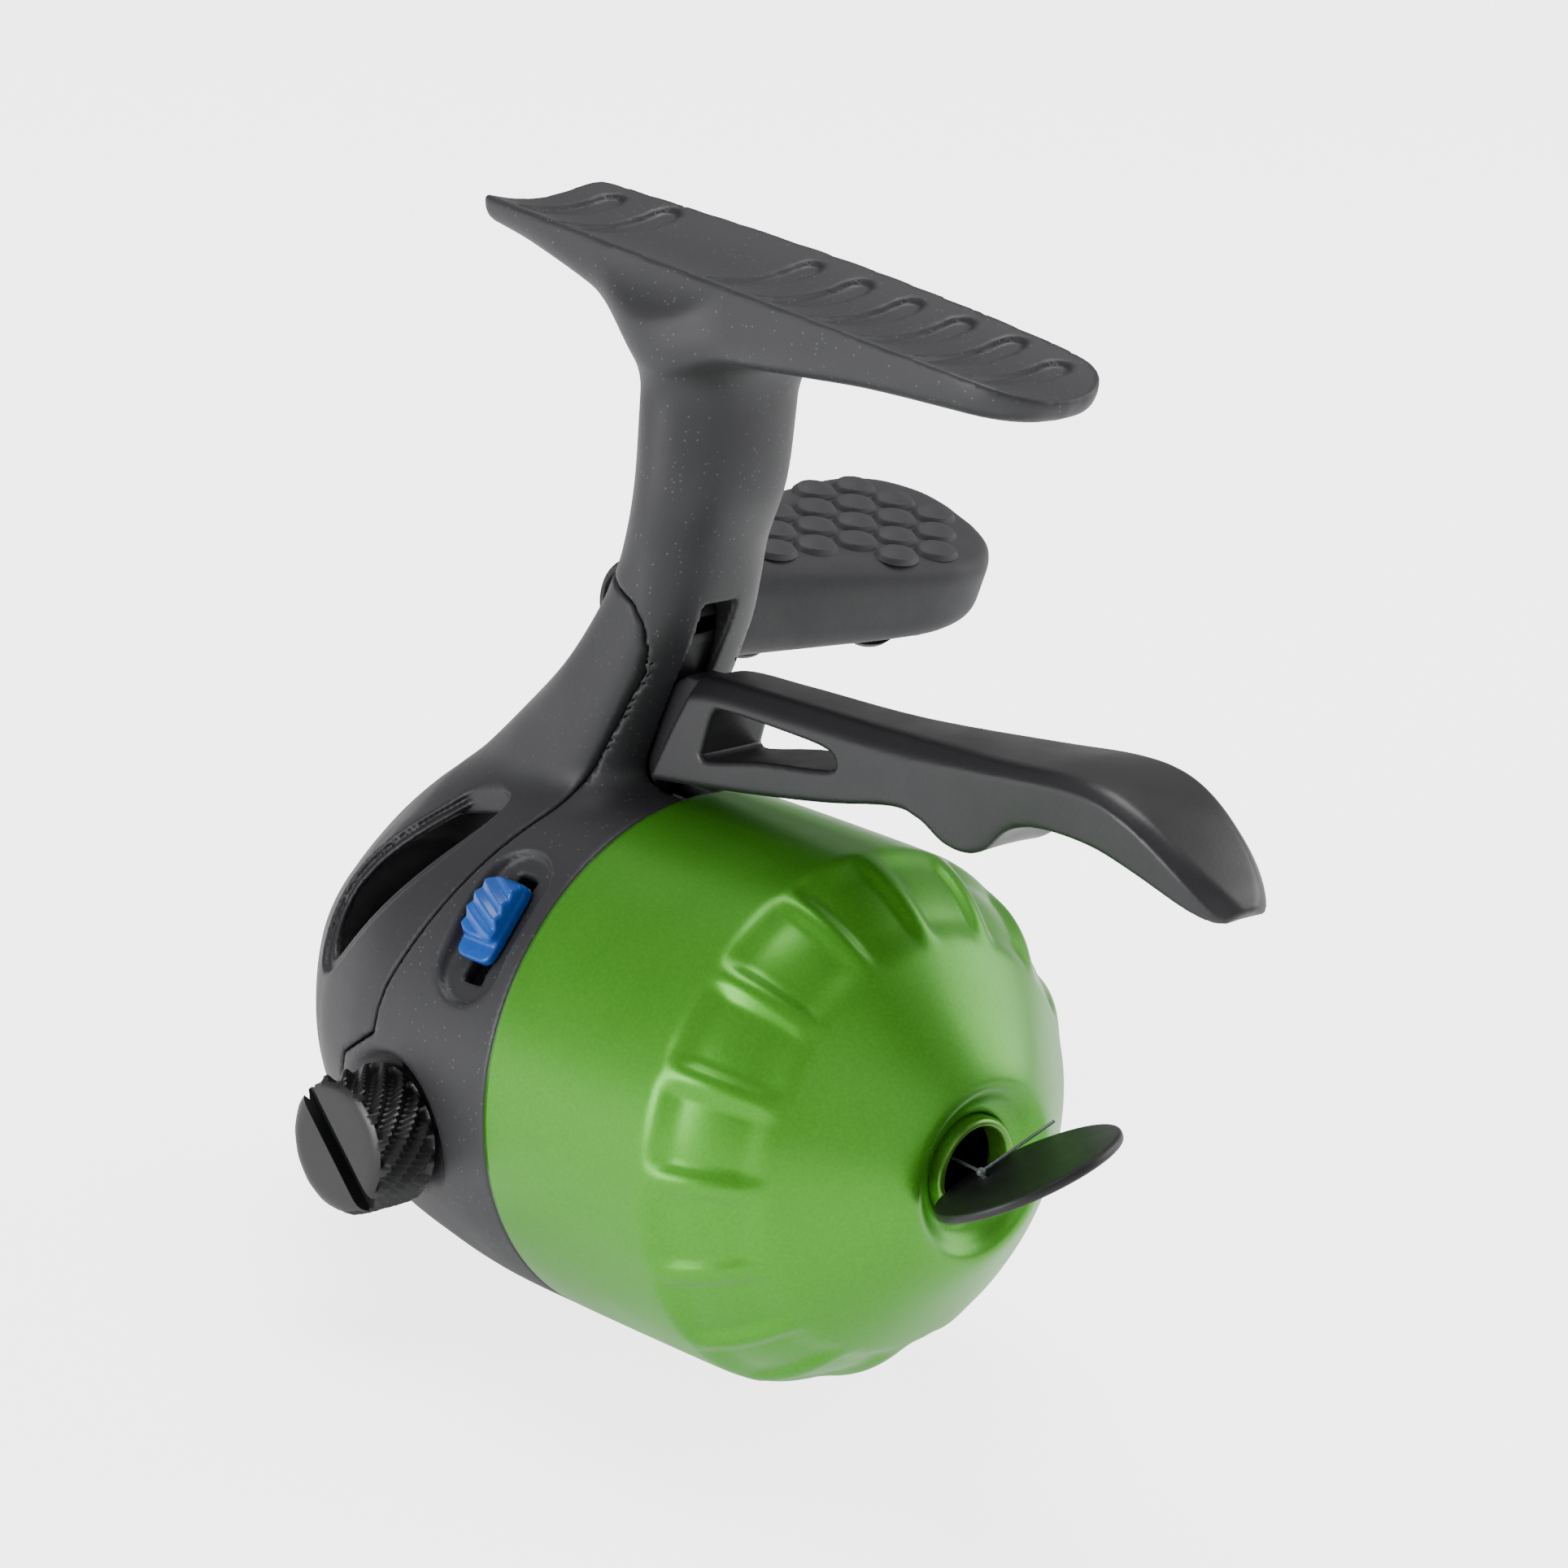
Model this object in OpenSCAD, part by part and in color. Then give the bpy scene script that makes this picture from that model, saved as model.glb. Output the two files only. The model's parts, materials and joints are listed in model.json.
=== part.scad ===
/* [Foot and stem] */
// Length of the foot along the rod
foot_len = 67; // [56:1:82]
// Width of the foot across the rod
foot_w = 17.6; // [15:0.2:22]
// Radius of the hollow that sits on the rod
saddle_r = 22; // [16:1:30]
// Thickness of the foot at its two tips
foot_tip_t = 2.2; // [1.6:0.1:3.5]
// Width of the stem across the reel
stem_w = 15.4; // [12:0.2:18]
// Drop from the foot's seat to the middle of the barrel's rear rim
barrel_drop = 73; // [68:0.5:90]
// Angle that the barrel points up from the rod
barrel_pitch = 4.8; // [0:0.2:8]

/* [Barrel] */
// Diameter of the cone at its rear rim
barrel_d = 50; // [48:0.5:62]
// Length of the cone from rim to nose
cone_len = 37.4; // [36:0.2:46]
// Wall of the spun aluminium cone
cone_wall = 1; // [0.6:0.1:1.4]
// Radius of the line hole in the nose
nose_hole_r = 3.9; // [3:0.1:5]
// Wall of the moulded housing and the rear cover
shell_wall = 1.8; // [1.4:0.1:2.2]
// Length of the housing and cover behind the rim
tail_len = 43.5; // [42:0.5:52]

/* [Crank] */
// Distance from the crank axis to the knob axis
crank_radius = 44.3; // [38:0.1:56]
// Direction of the crank arm, back from straight up
crank_azimuth = 35.5; // [0:0.5:360]
// Angle that the arm leans out from the body
arm_lean = 1.8; // [0:0.1:10]
// Diameter of the crank shaft
crank_shaft_d = 6; // [4.8:0.1:7.2]
// Distance of the crank axis behind the rim
crank_back = 14.3; // [14:0.1:15]
// Distance of the crank axis below the barrel axis
crank_low = 6.9; // [6.4:0.1:7.2]
// Length of the knob
grip_len = 41.5; // [34:0.5:50]
// Width of the knob at its outer end
grip_w = 20; // [15:0.5:22]
// Diameter of the knob at its inner end
grip_root_d = 12.4; // [10.4:0.2:14]
// Thickness of the knob at its outer end
grip_t = 8.4; // [7:0.2:10]

/* [Trigger] */
// Width of the trigger's body
trigger_w = 8; // [6:0.2:9.6]
// Width of the trigger's paddle
paddle_w = 12; // [9:0.5:16]
// Width of the slot in the stem for the trigger's neck
slot_w = 4; // [3.4:0.1:5]

/* [Mechanism] */
// Diameter of the centre shaft
centre_shaft_d = 3; // [2.4:0.1:3.4]
// Radius of the spool's flanges
spool_r = 19; // [16:0.2:20]
// Radius of the spool's drum
drum_r = 11; // [8:0.2:13]
// Thickness of the wound line on the drum
line_fill = 5.6; // [2:0.2:6.4]
// Radius of the spinner head
head_r = 20.4; // [18:0.2:21]
// Radial gap of a turning fit
run_gap = 0.06; // [0.02:0.01:0.1]

/* [Line keeper] */
// Diameter of the disc tied to the end of the line
keeper_d = 17.6; // [14:0.2:22]
// Thickness of the disc
keeper_t = 0.9; // [0.6:0.1:1.5]
// Diameter of the fishing line
line_d = 0.3; // [0.25:0.01:0.4]

/* [Hidden] */
$fn = 64;

barrel_r = barrel_d / 2;
shell_r = barrel_r;
saddle_rise = saddle_r - sqrt(saddle_r * saddle_r - foot_w * foot_w / 4);
// the barrel's rear rim lies almost under the middle of the foot
rim_x = -1.4;
eps = 0.01;

// crank axis in the barrel's own frame
crank_x = -crank_back;
crank_z = -crank_low;
shaft_r = crank_shaft_d / 2;
centre_r = centre_shaft_d / 2;

// stations of the tail: distance behind the rim as a share of its length, and step in from the rim
tail = [[0, 0], [0.15, 0.1], [0.32, 0.8], [0.46, 1.9], [0.6, 3.6], [0.74, 7.6],
    [0.88, 12.8], [0.965, 17.2], [1, 20]];
function tail_r(i, inset) = max(shell_r - tail[i][1] * shell_r / 25 - inset, 0.5);
function tail_x(i) = -tail[i][0] * tail_len;

// rear edge of the ridge that joins the stem to the tail, in the barrel's frame
ridge = [[-7.4, 47], [-8.6, 44.6], [-11, 40.5], [-15, 35], [-21, 28.8], [-28, 22.4], [-36, 14.5]];
// steps that round the ridge: width less than the stem's, and how far the rear and front edges are drawn in
ridge_steps = [[0, 3, 3], [3.4, 1.2, 1.2], [7.4, 0, 0]];
// front edge of the stem, in the barrel's frame
stem_front = [[2.3, 48], [1.2, 43], [-2.1, 35], [-6.2, shell_r - 0.4]];
// share of the front step at each of those points
front_share = [1, 0.8, 0.1, 0];
// sections of the stem: height, middle, half depth, half width taken off the stem's half width
stem_foot_z = barrel_drop - 12.2;
stem_sections = [[45, -3, 4.2, 0.3], [stem_foot_z, -0.7, 5.3, -0.6]];
// line where the rear cover meets the frame, seen from the side
seam = [[-12, 44.6], [-4.4, 44.4], [-1.9, 42], [-2.6, 36.5], [-9, 23.5], [-16.6, 5],
    [-16.6, 2], [-22, -1.6], [-24.5, -9], [-25.5, -30]];
seam_gap = 0.15;

// trigger pivot and the slot it swings in
pivot = [-7, 29.5];
pivot_r = 1.25;
neck_w = slot_w - 0.5;
lug_w = 10;
tail_reach = 11;
slot_top = 42.6;

// stack along the barrel axis
spigot_len = 4;
spigot_gap = 0.25;
spigot_r = barrel_r - cone_wall - spigot_gap;
deck_x = 1;
deck_t = 1.6;
deck_r = spigot_r - shell_wall - 0.1;
tube_r = 4;
tube_end = 13.5;
spool_x = deck_x + deck_t + 0.75;
spool_len = 9;
flange_t = 1;
head_x = tube_end + 0.5;
head_len = 6;
head_wall = 1.2;
shaft_back = -9;

// gears: an offset face gear turns a spur pinion four times a turn
gear_teeth = 32;
pinion_teeth = 8;
pinion_r = 2.75;
gear_r = 14;
gear_y = pinion_r + 0.75;
gear_t = 2;
rib_w = 0.62;
rib_h = 1.15;
rib_in = 9.8;
rib_out = 11.9;
tooth_w = 0.62;
tooth_tip = pinion_r + 0.42;
tooth_root = pinion_r - 0.75;
mesh_x = crank_x + (rib_in + rib_out) / 2;
pinion_len = 3.6;

// pawl below and in front of the ratchet
pawl_at = [-9.1, -16.1];

// crank stations across the reel
arm_y = barrel_r + 1.6;
arm_t = 3;
cap_y = -(barrel_r - 1.4);
cap_len = 6.4;
cap_r = 6;
bushing_r = 4.3;
bushing_len = 6;
bushing_y = barrel_r - 1.6 - bushing_len;

// knob
axle_r = 2;
core_r = 3.6;
knob_gap = 0.5;
boss_disc_r = 5;
core_end = arm_t + grip_len - 8;
// the broad faces are turned from the arm, and the grip stands off the axle towards its upper face
grip_turn = 53.5;
grip_shift = 2;

// bite alert on the right flank of the housing, in the middle of its travel
alert_angle = 37;
alert_x = -6.2;
alert_r = shell_r - 2;
alert_pocket = [7, 15];
alert_slot_w = 2.4;

screw_r = 1.1;
screw_head_r = 2;
boss_r = 2.6;
deck_screw_at = [[30, 19.2], [195, 19.2], [310, 19.2]];
cover_screw_at = [[17.6, 9], [16.4, -13.4]];

// ---------- placing ----------
module on_barrel() {
    translate([rim_x, 0, -barrel_drop]) rotate([0, -barrel_pitch, 0]) children();
}
// turns an outline of [along, radius] points about the barrel axis
module turned() {
    rotate([0, 90, 0]) rotate_extrude($fn = 96) children();
}
// turned() draws radius along x and the barrel axis along y
module ring(r_out, r_in, x0, x1) {
    turned() translate([r_in, x0]) square([r_out - r_in, x1 - x0]);
}
module rod(r, x0, x1) {
    translate([x0, 0, 0]) rotate([0, 90, 0]) cylinder(r = r, h = x1 - x0);
}
// cylinder along the crank axis
module across(r, y0, y1) {
    translate([crank_x, y1, crank_z]) rotate([90, 0, 0]) cylinder(r = r, h = y1 - y0);
}
// outline in the side plane, made into a slab of the given width
module slab(points, w) {
    translate([0, w / 2, 0]) rotate([90, 0, 0]) linear_extrude(w) polygon(points);
}
module at_knob() {
    translate([crank_x, arm_y, crank_z]) rotate([0, -crank_azimuth, 0])
        rotate([-arm_lean, 0, 0]) translate([0, 0, crank_radius]) children();
}
// frame on the right flank: x forward, y outward, z up the flank
module at_alert() {
    rotate([-alert_angle, 0, 0]) translate([alert_x, 0, 0]) mirror([0, 1, 0]) children();
}

// round wire wound about z: radius of the coil, of the wire, rise and number of turns
module coil(r, wire, rise, turns) {
    sides = 8;
    steps = round(turns * 16);
    pts = [for (i = [0:steps]) for (k = [0:sides - 1])
        let (a = i * 22.5, b = k * 360 / sides, q = r + wire * cos(b))
        [q * cos(a), q * sin(a), i / 16 * rise + wire * sin(b)]];
    side_faces = [for (i = [0:steps - 1]) for (k = [0:sides - 1])
        let (n = (k + 1) % sides) [i * sides + k, i * sides + n, (i + 1) * sides + n, (i + 1) * sides + k]];
    polyhedron(pts, concat(side_faces, [[for (k = [sides - 1:-1:0]) k]],
        [[for (k = [0:sides - 1]) steps * sides + k]]), convexity = 6);
}

// ---------- casings ----------
module tail_solid(inset) {
    turned() polygon(concat([[0, 0]],
        [for (i = [0:len(tail) - 1]) [tail_r(i, inset), tail_x(i) + (i == len(tail) - 1 ? inset : 0)]],
        [[0, -tail_len + inset]]));
}
module ridge_slab(w, cut, front_cut) {
    front = [for (i = [0:3]) [stem_front[i][0] - front_cut * front_share[i], stem_front[i][1]]];
    slab(concat([front[0]], [for (p = ridge) [p[0] + cut, p[1] - cut]],
        [[-36 + cut, 0], [-6.2, 0]], [for (i = [3:-1:1]) front[i]]), w);
}
module ridge_solid() {
    for (step = ridge_steps) ridge_slab(stem_w - step[0], step[1], step[2]);
}
// all that lies behind the seam
module behind_seam(gap) {
    slab(concat([for (i = [0:len(seam) - 1]) [seam[i][0] - gap, seam[i][1] - (i < 2 ? gap : 0)]],
        [[-80, -30], [-80, 44.6 - gap]]), 80);
}
module foot_outline() {
    tip_r = 5.5;
    heel_r = 2.4;
    hull() {
        for (s = [-1, 1]) {
            translate([foot_len / 2 - tip_r, s * (foot_w / 2 - tip_r - 1)]) circle(r = tip_r, $fn = 48);
            translate([-foot_len / 2 + heel_r, s * (foot_w / 2 - heel_r - 1.2)]) circle(r = heel_r, $fn = 48);
            translate([0, s * (foot_w / 2 - 1)]) circle(r = 1, $fn = 32);
        }
    }
}
// side outline of the foot, thick over the stem and thin at the tips
foot_under = [[-foot_len / 2, saddle_rise - foot_tip_t], [-24.4, -1.9], [-17.8, -3.5], [-14.3, -5],
    [-12.2, -7.4], [-10.8, -10.4], [-10.8, -13], [-2.6, -13], [-2, -9.4], [1, -6.6], [7, -4.7],
    [16.8, -3], [28, -1.5], [foot_len / 2, saddle_rise - foot_tip_t]];
// steps that narrow the foot down to the stem: width and depth below the seat
foot_steps = [[foot_w, 5.6], [stem_w + 0.6, 8.6], [stem_w - 2.2, 14]];
module foot() {
    difference() {
        union() {
            for (step = foot_steps) intersection() {
                slab(concat(foot_under, [[foot_len / 2, saddle_rise], [-foot_len / 2, saddle_rise]]), step[0]);
                translate([0, 0, -step[1]]) linear_extrude(60) foot_outline();
            }
            // plate of even thickness that follows the hollow
            intersection() {
                translate([-foot_len, 0, saddle_r]) rotate([0, 90, 0])
                    cylinder(r = saddle_r + foot_tip_t, h = 2 * foot_len, $fn = 128);
                translate([0, 0, -5]) linear_extrude(5 + saddle_rise) foot_outline();
            }
        }
        translate([-foot_len, 0, saddle_r]) rotate([0, 90, 0])
            cylinder(r = saddle_r, h = 2 * foot_len, $fn = 128);
    }
}
// oval stem, from the ridge up into the foot
module stem() {
    hull() for (q = stem_sections) translate([q[1], 0, q[0]]) linear_extrude(0.5)
        polygon([for (a = [0:12:348]) [q[2] * cos(a), (stem_w / 2 - q[3]) * sin(a)]]);
}
// inner lugs that carry the trigger's pin behind the seam
module trigger_lugs() {
    slab([[-1.5, 40], [-11, 33.5], [-11.4, 26], [-11, 21.6], [-6, 21.6]], lug_w);
}
module trigger_slot() {
    // the neck swings in this slot and the tail passes down through the housing's top
    slab([[-12.4, slot_top - 9], [-6.6, slot_top - 2], [-2.4, slot_top], [8, slot_top + 2], [8, 22],
        [-1.6, 22], [-1.6, 18], [-12.4, 18]], slot_w);
}
module alert_pocket_cut() {
    at_alert() {
        translate([0, alert_r, 0]) rotate([-90, 0, 0]) linear_extrude(10)
            hull() for (s = [-1, 1]) translate([0, s * (alert_pocket[1] - alert_pocket[0]) / 2])
                circle(d = alert_pocket[0], $fn = 48);
        translate([-alert_slot_w / 2, alert_r - 6, -5.4]) cube([alert_slot_w, 12, 10.8]);
    }
}
module body_frame() {
    color([0.20, 0.20, 0.21]) {
        foot();
        on_barrel() difference() {
            union() {
                stem();
                trigger_lugs();
                difference() {
                    union() {
                        difference() {
                            union() {
                                tail_solid(0);
                                ridge_solid();
                            }
                            behind_seam(0);
                        }
                        ring(spigot_r, spigot_r - shell_wall, -1, spigot_len);
                    }
                    difference() {
                        tail_solid(shell_wall);
                        at_alert() translate([-5, alert_r - 1.6, -9]) cube([10, 6, 18]);
                    }
                    rod(spigot_r - shell_wall, -1.5, spigot_len + 1);
                }
                ring(spigot_r - 0.1, deck_r - 1.2, deck_x - 2, deck_x - 0.05);
                for (a = deck_screw_at) rotate([a[0], 0, 0]) translate([0, a[1], 0])
                    rod(boss_r, -7, deck_x - 0.05);
                for (p = cover_screw_at) translate([0, p[0], p[1]]) difference() {
                    rod(boss_r, -21, -12);
                    translate([0, -p[0], -p[1]]) behind_seam(-0.3);
                }
                across(bushing_r + 1.6, bushing_y, bushing_y + bushing_len);
                across(bushing_r + 1.6, -bushing_y - bushing_len, -bushing_y);
                for (s = [0, 1]) mirror([0, s, 0]) across(bushing_r + 2.6, barrel_r - 4, barrel_r - 1.6);
            }
            trigger_slot();
            translate([pivot[0], 20, pivot[1]]) rotate([90, 0, 0]) cylinder(r = pivot_r, h = 40);
            across(bushing_r, bushing_y - 1, 60);
            across(bushing_r, -60, -bushing_y + 1);
            // dished pocket around the side cap
            across(cap_r + 1, -60, -(barrel_r - 2.2));
            alert_pocket_cut();
            for (a = deck_screw_at) rotate([a[0], 0, 0]) translate([0, a[1], 0]) rod(screw_r, -5, 10);
            for (p = cover_screw_at) translate([0, p[0], p[1]]) rod(screw_r, -40, -14);
        }
    }
}
module cover_window(points, y0, y1) {
    translate([0, y1, 0]) rotate([90, 0, 0]) linear_extrude(y1 - y0) polygon(points);
}
module rear_cover() {
    color([0.22, 0.22, 0.23]) on_barrel() difference() {
        intersection() {
            union() {
                tail_solid(0);
                ridge_solid();
            }
            behind_seam(seam_gap);
        }
        tail_solid(shell_wall);
        intersection() {
            ridge_slab(stem_w - 2 * shell_wall, 3 + shell_wall / 2, 0);
            translate([-60, -20, -20]) cube([60, 40, 61.5]);
        }
        // clearance around the frame's own lugs and bosses
        slab([[0, 41.4], [-11.6, 34], [-12, 20], [0, 20]], lug_w + 0.5);
        for (p = cover_screw_at) translate([0, p[0], p[1]]) {
            rod(screw_r + 0.15, -60, 0);
            rod(screw_head_r + 0.3, -60, -25);
            rod(boss_r + 0.3, -21.4, 0);
        }
        across(bushing_r + 3, bushing_y - 1, barrel_r + 2);
        across(cap_r + 1.3, -60, -bushing_y + 1);
        // slanted side windows, one in each flank, and a slim one behind each
        for (s = [0, 1]) mirror([0, s, 0]) {
            cover_window([[-16, 21.6], [-18.6, 17.6], [-27.6, 5.4], [-30.6, 6.6], [-30, 10.8], [-20, 21]], -30, -9);
            cover_window([[-39, 6], [-36.6, 5], [-34.6, -8], [-37, -8.6]], -30, -4);
        }
    }
}
module screw(len, x0) {
    rod(screw_r - 0.05, x0, x0 + len);
    difference() {
        rod(screw_head_r - 0.1, x0 - 1.2, x0 + eps);
        translate([x0 - 1.3, -0.3, -1.2]) cube([0.7, 0.6, 2.4]);
        translate([x0 - 1.3, -1.2, -0.3]) cube([0.7, 2.4, 0.6]);
    }
}
module cover_screws() {
    color("silver") on_barrel() for (p = cover_screw_at) translate([0, p[0], p[1]]) screw(8, -25.02);
}
module deck_plate() {
    color([0.72, 0.72, 0.74]) on_barrel() difference() {
        union() {
            rod(deck_r, deck_x, deck_x + deck_t);
            rod(tube_r, deck_x, tube_end);
            rod(5, deck_x - 1.2, deck_x + eps);
            // lugs that carry the pawl's pin
            translate([pawl_at[0] - 2, -7.9, pawl_at[1] - 2]) cube([deck_x - pawl_at[0] + 2.2, 1.1, 4]);
        }
        rod(centre_r + run_gap, -10, 20);
        rod(2.6 + run_gap, deck_x - 3, deck_x);
        translate([0, 0, 15.5]) rod(0.9, -5, deck_x + deck_t + 1);
        translate([pawl_at[0], 0, pawl_at[1]]) rotate([90, 0, 0]) cylinder(r = 1, h = 12);
        for (a = deck_screw_at) rotate([a[0], 0, 0]) translate([0, a[1], 0]) {
            rod(screw_r + 0.1, -5, 10);
            rod(screw_head_r + 0.1, deck_x + 0.6, 10);
        }
        // window for the click tongue
        at_alert() translate([-3, alert_r - 8, -6]) cube([12, 8, 12]);
        // groove for the spool's clip
        ring(tube_r + 1, tube_r - 0.6, spool_x + spool_len + 0.1, spool_x + spool_len + 0.7);
    }
}
module deck_screws() {
    color("silver") on_barrel() for (a = deck_screw_at) rotate([a[0], 0, 0]) translate([0, a[1], 0])
        mirror([1, 0, 0]) screw(5.4, -deck_x - 0.62);
}

// ---------- cone ----------
// outer profile of the cone: distance from the rim and step in from the barrel's radius
cone_steps = [[0, 0], [19.6, 0.1], [21, 0.35], [23, 1.05], [25, 2.1], [27, 3.6], [29, 5.5], [31, 7.8],
    [33, 10.2], [35, 12.8], [36.6, 15], [37.3, 16.3]];
function cone_pt(i, inset) = [barrel_r - cone_steps[i][1] * barrel_r / 25 - inset,
    cone_steps[i][0] * cone_len / 37.4 - (i < 2 ? 0 : inset * 0.55)];
module front_cone() {
    n = len(cone_steps) - 1;
    dish_x = cone_len - 1.6;
    color([0.36, 0.66, 0.22]) on_barrel() turned() polygon(concat(
        [for (i = [0:n]) cone_pt(i, 0)],
        [[7.6, cone_len - 0.2], [6.6, cone_len - 0.9], [5.6, dish_x],
        [nose_hole_r + 1, dish_x], [nose_hole_r + 1, dish_x - cone_wall],
        [7.4, dish_x - cone_wall]],
        [for (i = [n:-1:0]) cone_pt(i, cone_wall)]));
}
module nose_ring() {
    color([0.55, 0.72, 0.35]) on_barrel() {
        translate([cone_len - 1, 0, 0]) rotate([0, 90, 0]) rotate_extrude($fn = 72)
            translate([nose_hole_r + 0.6, 0]) circle(r = 0.6, $fn = 24);
        ring(nose_hole_r + 0.95, nose_hole_r + 0.3, cone_len - 3.2, cone_len - 1);
    }
}

// ---------- line keeper ----------
keeper_at = [cone_len + 7.4, -2.3, 2.8];
keeper_turn = [13.7, -25, 0];
keeper_hole = keeper_d / 2 - 3.4;
module line_keeper() {
    color([0.08, 0.08, 0.08]) on_barrel() translate(keeper_at) rotate(keeper_turn) difference() {
        cylinder(d = keeper_d, h = keeper_t, center = true, $fn = 72);
        translate([-keeper_hole, 0, -2]) cylinder(r = 0.5, h = 4, $fn = 24);
    }
}
// straight stretch of line between two points
module line_run(a, b) {
    d = b - a;
    translate(a) rotate([0, acos(d[2] / norm(d)), atan2(d[1], d[0])]) cylinder(d = line_d, h = norm(d), $fn = 24);
}
module line_lead() {
    cy = cos(keeper_turn[1]);
    sy = sin(keeper_turn[1]);
    cx = cos(keeper_turn[0]);
    sx = sin(keeper_turn[0]);
    // the disc's upward normal and its hole
    up = [cx * sy, -sx, cx * cy];
    hole = keeper_at - keeper_hole * [cy, 0, -sy];
    knot = hole + (keeper_t / 2 + 0.5) * up;
    color([0.85, 0.88, 0.9]) on_barrel() {
        line_run([cone_len - 8, 0.2, 0.4], knot);
        line_run(hole - (keeper_t / 2 + 0.5) * up, knot);
        line_run(knot, knot + [1.8, 7, 3.7]);
        translate(knot) sphere(r = 0.42, $fn = 24);
        translate(hole - (keeper_t / 2 + 0.6) * up) sphere(r = 0.55, $fn = 24);
    }
}

// ---------- trigger ----------
trigger_side = [[-2.4, 28.4], [0.9, 35.4], [3, 37], [10.7, 37.4], [24.5, 37.6], [38.7, 38.6],
    [49, 39], [54, 38.4], [59, 35.8], [63.8, 32.8], [64.4, 31.9], [63, 31.4], [55.8, 33.4], [46, 34.2],
    [41, 33.2], [37.3, 30.2], [34.2, 30], [31, 31.4], [28, 31.8], [18.9, 29.7], [7.8, 27.9], [-3, 26.3]];
trigger_window = [[3, 29.8], [4.2, 34.4], [5.6, 35], [18.6, 34.8], [20.2, 34.2], [20, 33.2], [19, 32.6]];
module trigger_lever() {
    color([0.13, 0.13, 0.14]) on_barrel() {
        difference() {
            union() {
                difference() {
                    slab(trigger_side, trigger_w);
                    // triangular window through the body
                    slab(trigger_window, 20);
                }
                // wide paddle, its top crowned
                intersection() {
                    slab([[24, 35.8], [24.5, 37.6], [38.7, 39.4], [49, 40.4], [54, 39.8], [59.4, 36.8], [64.3, 33],
                        [64.6, 31.8], [63.4, 31], [55.8, 33.8], [46, 35.4], [36, 35.6]], paddle_w);
                    linear_extrude(60) hull() {
                        translate([25, 0]) circle(d = trigger_w, $fn = 48);
                        translate([54, 0]) circle(d = paddle_w, $fn = 48);
                        translate([60.5, 0]) circle(d = paddle_w - 3, $fn = 48);
                    }
                }
                // neck, hub and tail, all inside the stem's slot
                slab([[-9.4, 30], [-7, 32.4], [-1, 36.2], [3.4, 36.9], [3.6, 34], [2.4, 29.8], [2, 27.2], [-4, 26.2],
                    [-6.1, 22], [-6.3, pivot[1] - tail_reach], [-8.7, pivot[1] - tail_reach], [-9.4, 26]], neck_w);
                translate([pivot[0], neck_w / 2, pivot[1]]) rotate([90, 0, 0]) cylinder(r = 2.6, h = neck_w);
            }
            translate([pivot[0], 10, pivot[1]]) rotate([90, 0, 0]) cylinder(r = pivot_r + run_gap, h = 20);
        }
    }
}
module trigger_pin() {
    color("silver") on_barrel() translate([pivot[0], lug_w / 2, pivot[1]]) rotate([90, 0, 0])
        cylinder(r = pivot_r - 0.005, h = lug_w);
}

// ---------- plunger ----------
yoke_y = [-2.8, 1.5];
module thrust_yoke() {
    color([0.75, 0.70, 0.55]) on_barrel() difference() {
        translate([0, yoke_y[0], 0]) {
            w = yoke_y[1] - yoke_y[0];
            translate([shaft_back - 1.7, 0, -2]) cube([1.6, w, 19]);
            translate([shaft_back - 1.7, 0, 13.4]) cube([6.2, w, 4]);
            translate([-5.9, 0, 13.4]) cube([1.4, w, 7.2]);
        }
        translate([0, 0, 15.5]) rod(0.9 + run_gap, -30, 10);
    }
}
module guide_pin() {
    color("silver") on_barrel() translate([0, 0, 15.5]) rod(0.9 - 0.005, -13, deck_x + deck_t);
}
module plunger_spring() {
    // wound at the length that stays free at full pull
    color("silver") on_barrel() translate([deck_x - 2.4, 0, 15.5]) rotate([0, 90, 0])
        coil(1.7, 0.22, 0.6, 3.2);
}
module centre_shaft() {
    color("silver") on_barrel() {
        rod(centre_r, shaft_back, head_x + head_len + 2);
    }
}
module spinner_head() {
    hx = head_x + head_len;
    color([0.80, 0.80, 0.82]) on_barrel() difference() {
        union() {
            turned() polygon([[centre_r + 0.01, hx - 2.4], [3.4, hx - 3.2], [4.4, hx - head_wall],
                [head_r - head_wall, hx - head_wall - 1], [head_r - head_wall, head_x],
                [head_r, head_x], [head_r, hx - 1.6], [head_r - 1.2, hx - 0.5],
                [head_r - 3, hx], [centre_r + 0.01, hx]]);
            translate([head_x + 2.4, 0, 0]) rotate([180, 0, 0]) translate([0, 0, 12]) cylinder(r = 2, h = 7.6);
        }
        translate([head_x + 2.4, 0, 0]) rotate([180, 0, 0]) translate([0, 0, 11])
            cylinder(r = 1 + run_gap, h = 20);
    }
}
module head_nut() {
    color("silver") on_barrel() translate([head_x + head_len + 0.02, 0, 0]) rotate([0, 90, 0]) difference() {
        cylinder(r = 3.2, h = 2, $fn = 6);
        translate([0, 0, -1]) cylinder(r = centre_r + 0.01, h = 5);
    }
}
module pickup_pin() {
    color([0.95, 0.95, 0.97]) on_barrel() translate([head_x + 2.4, 0, 0]) rotate([180, 0, 0]) {
        translate([0, 0, 12.4]) cylinder(r = 1, h = head_r + 1 - 12.4);
        translate([0, 0, 9.2]) cylinder(r = 1.3, h = 1.5);
        translate([0, 0, 10]) cylinder(r = 1, h = 3);
    }
}
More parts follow.
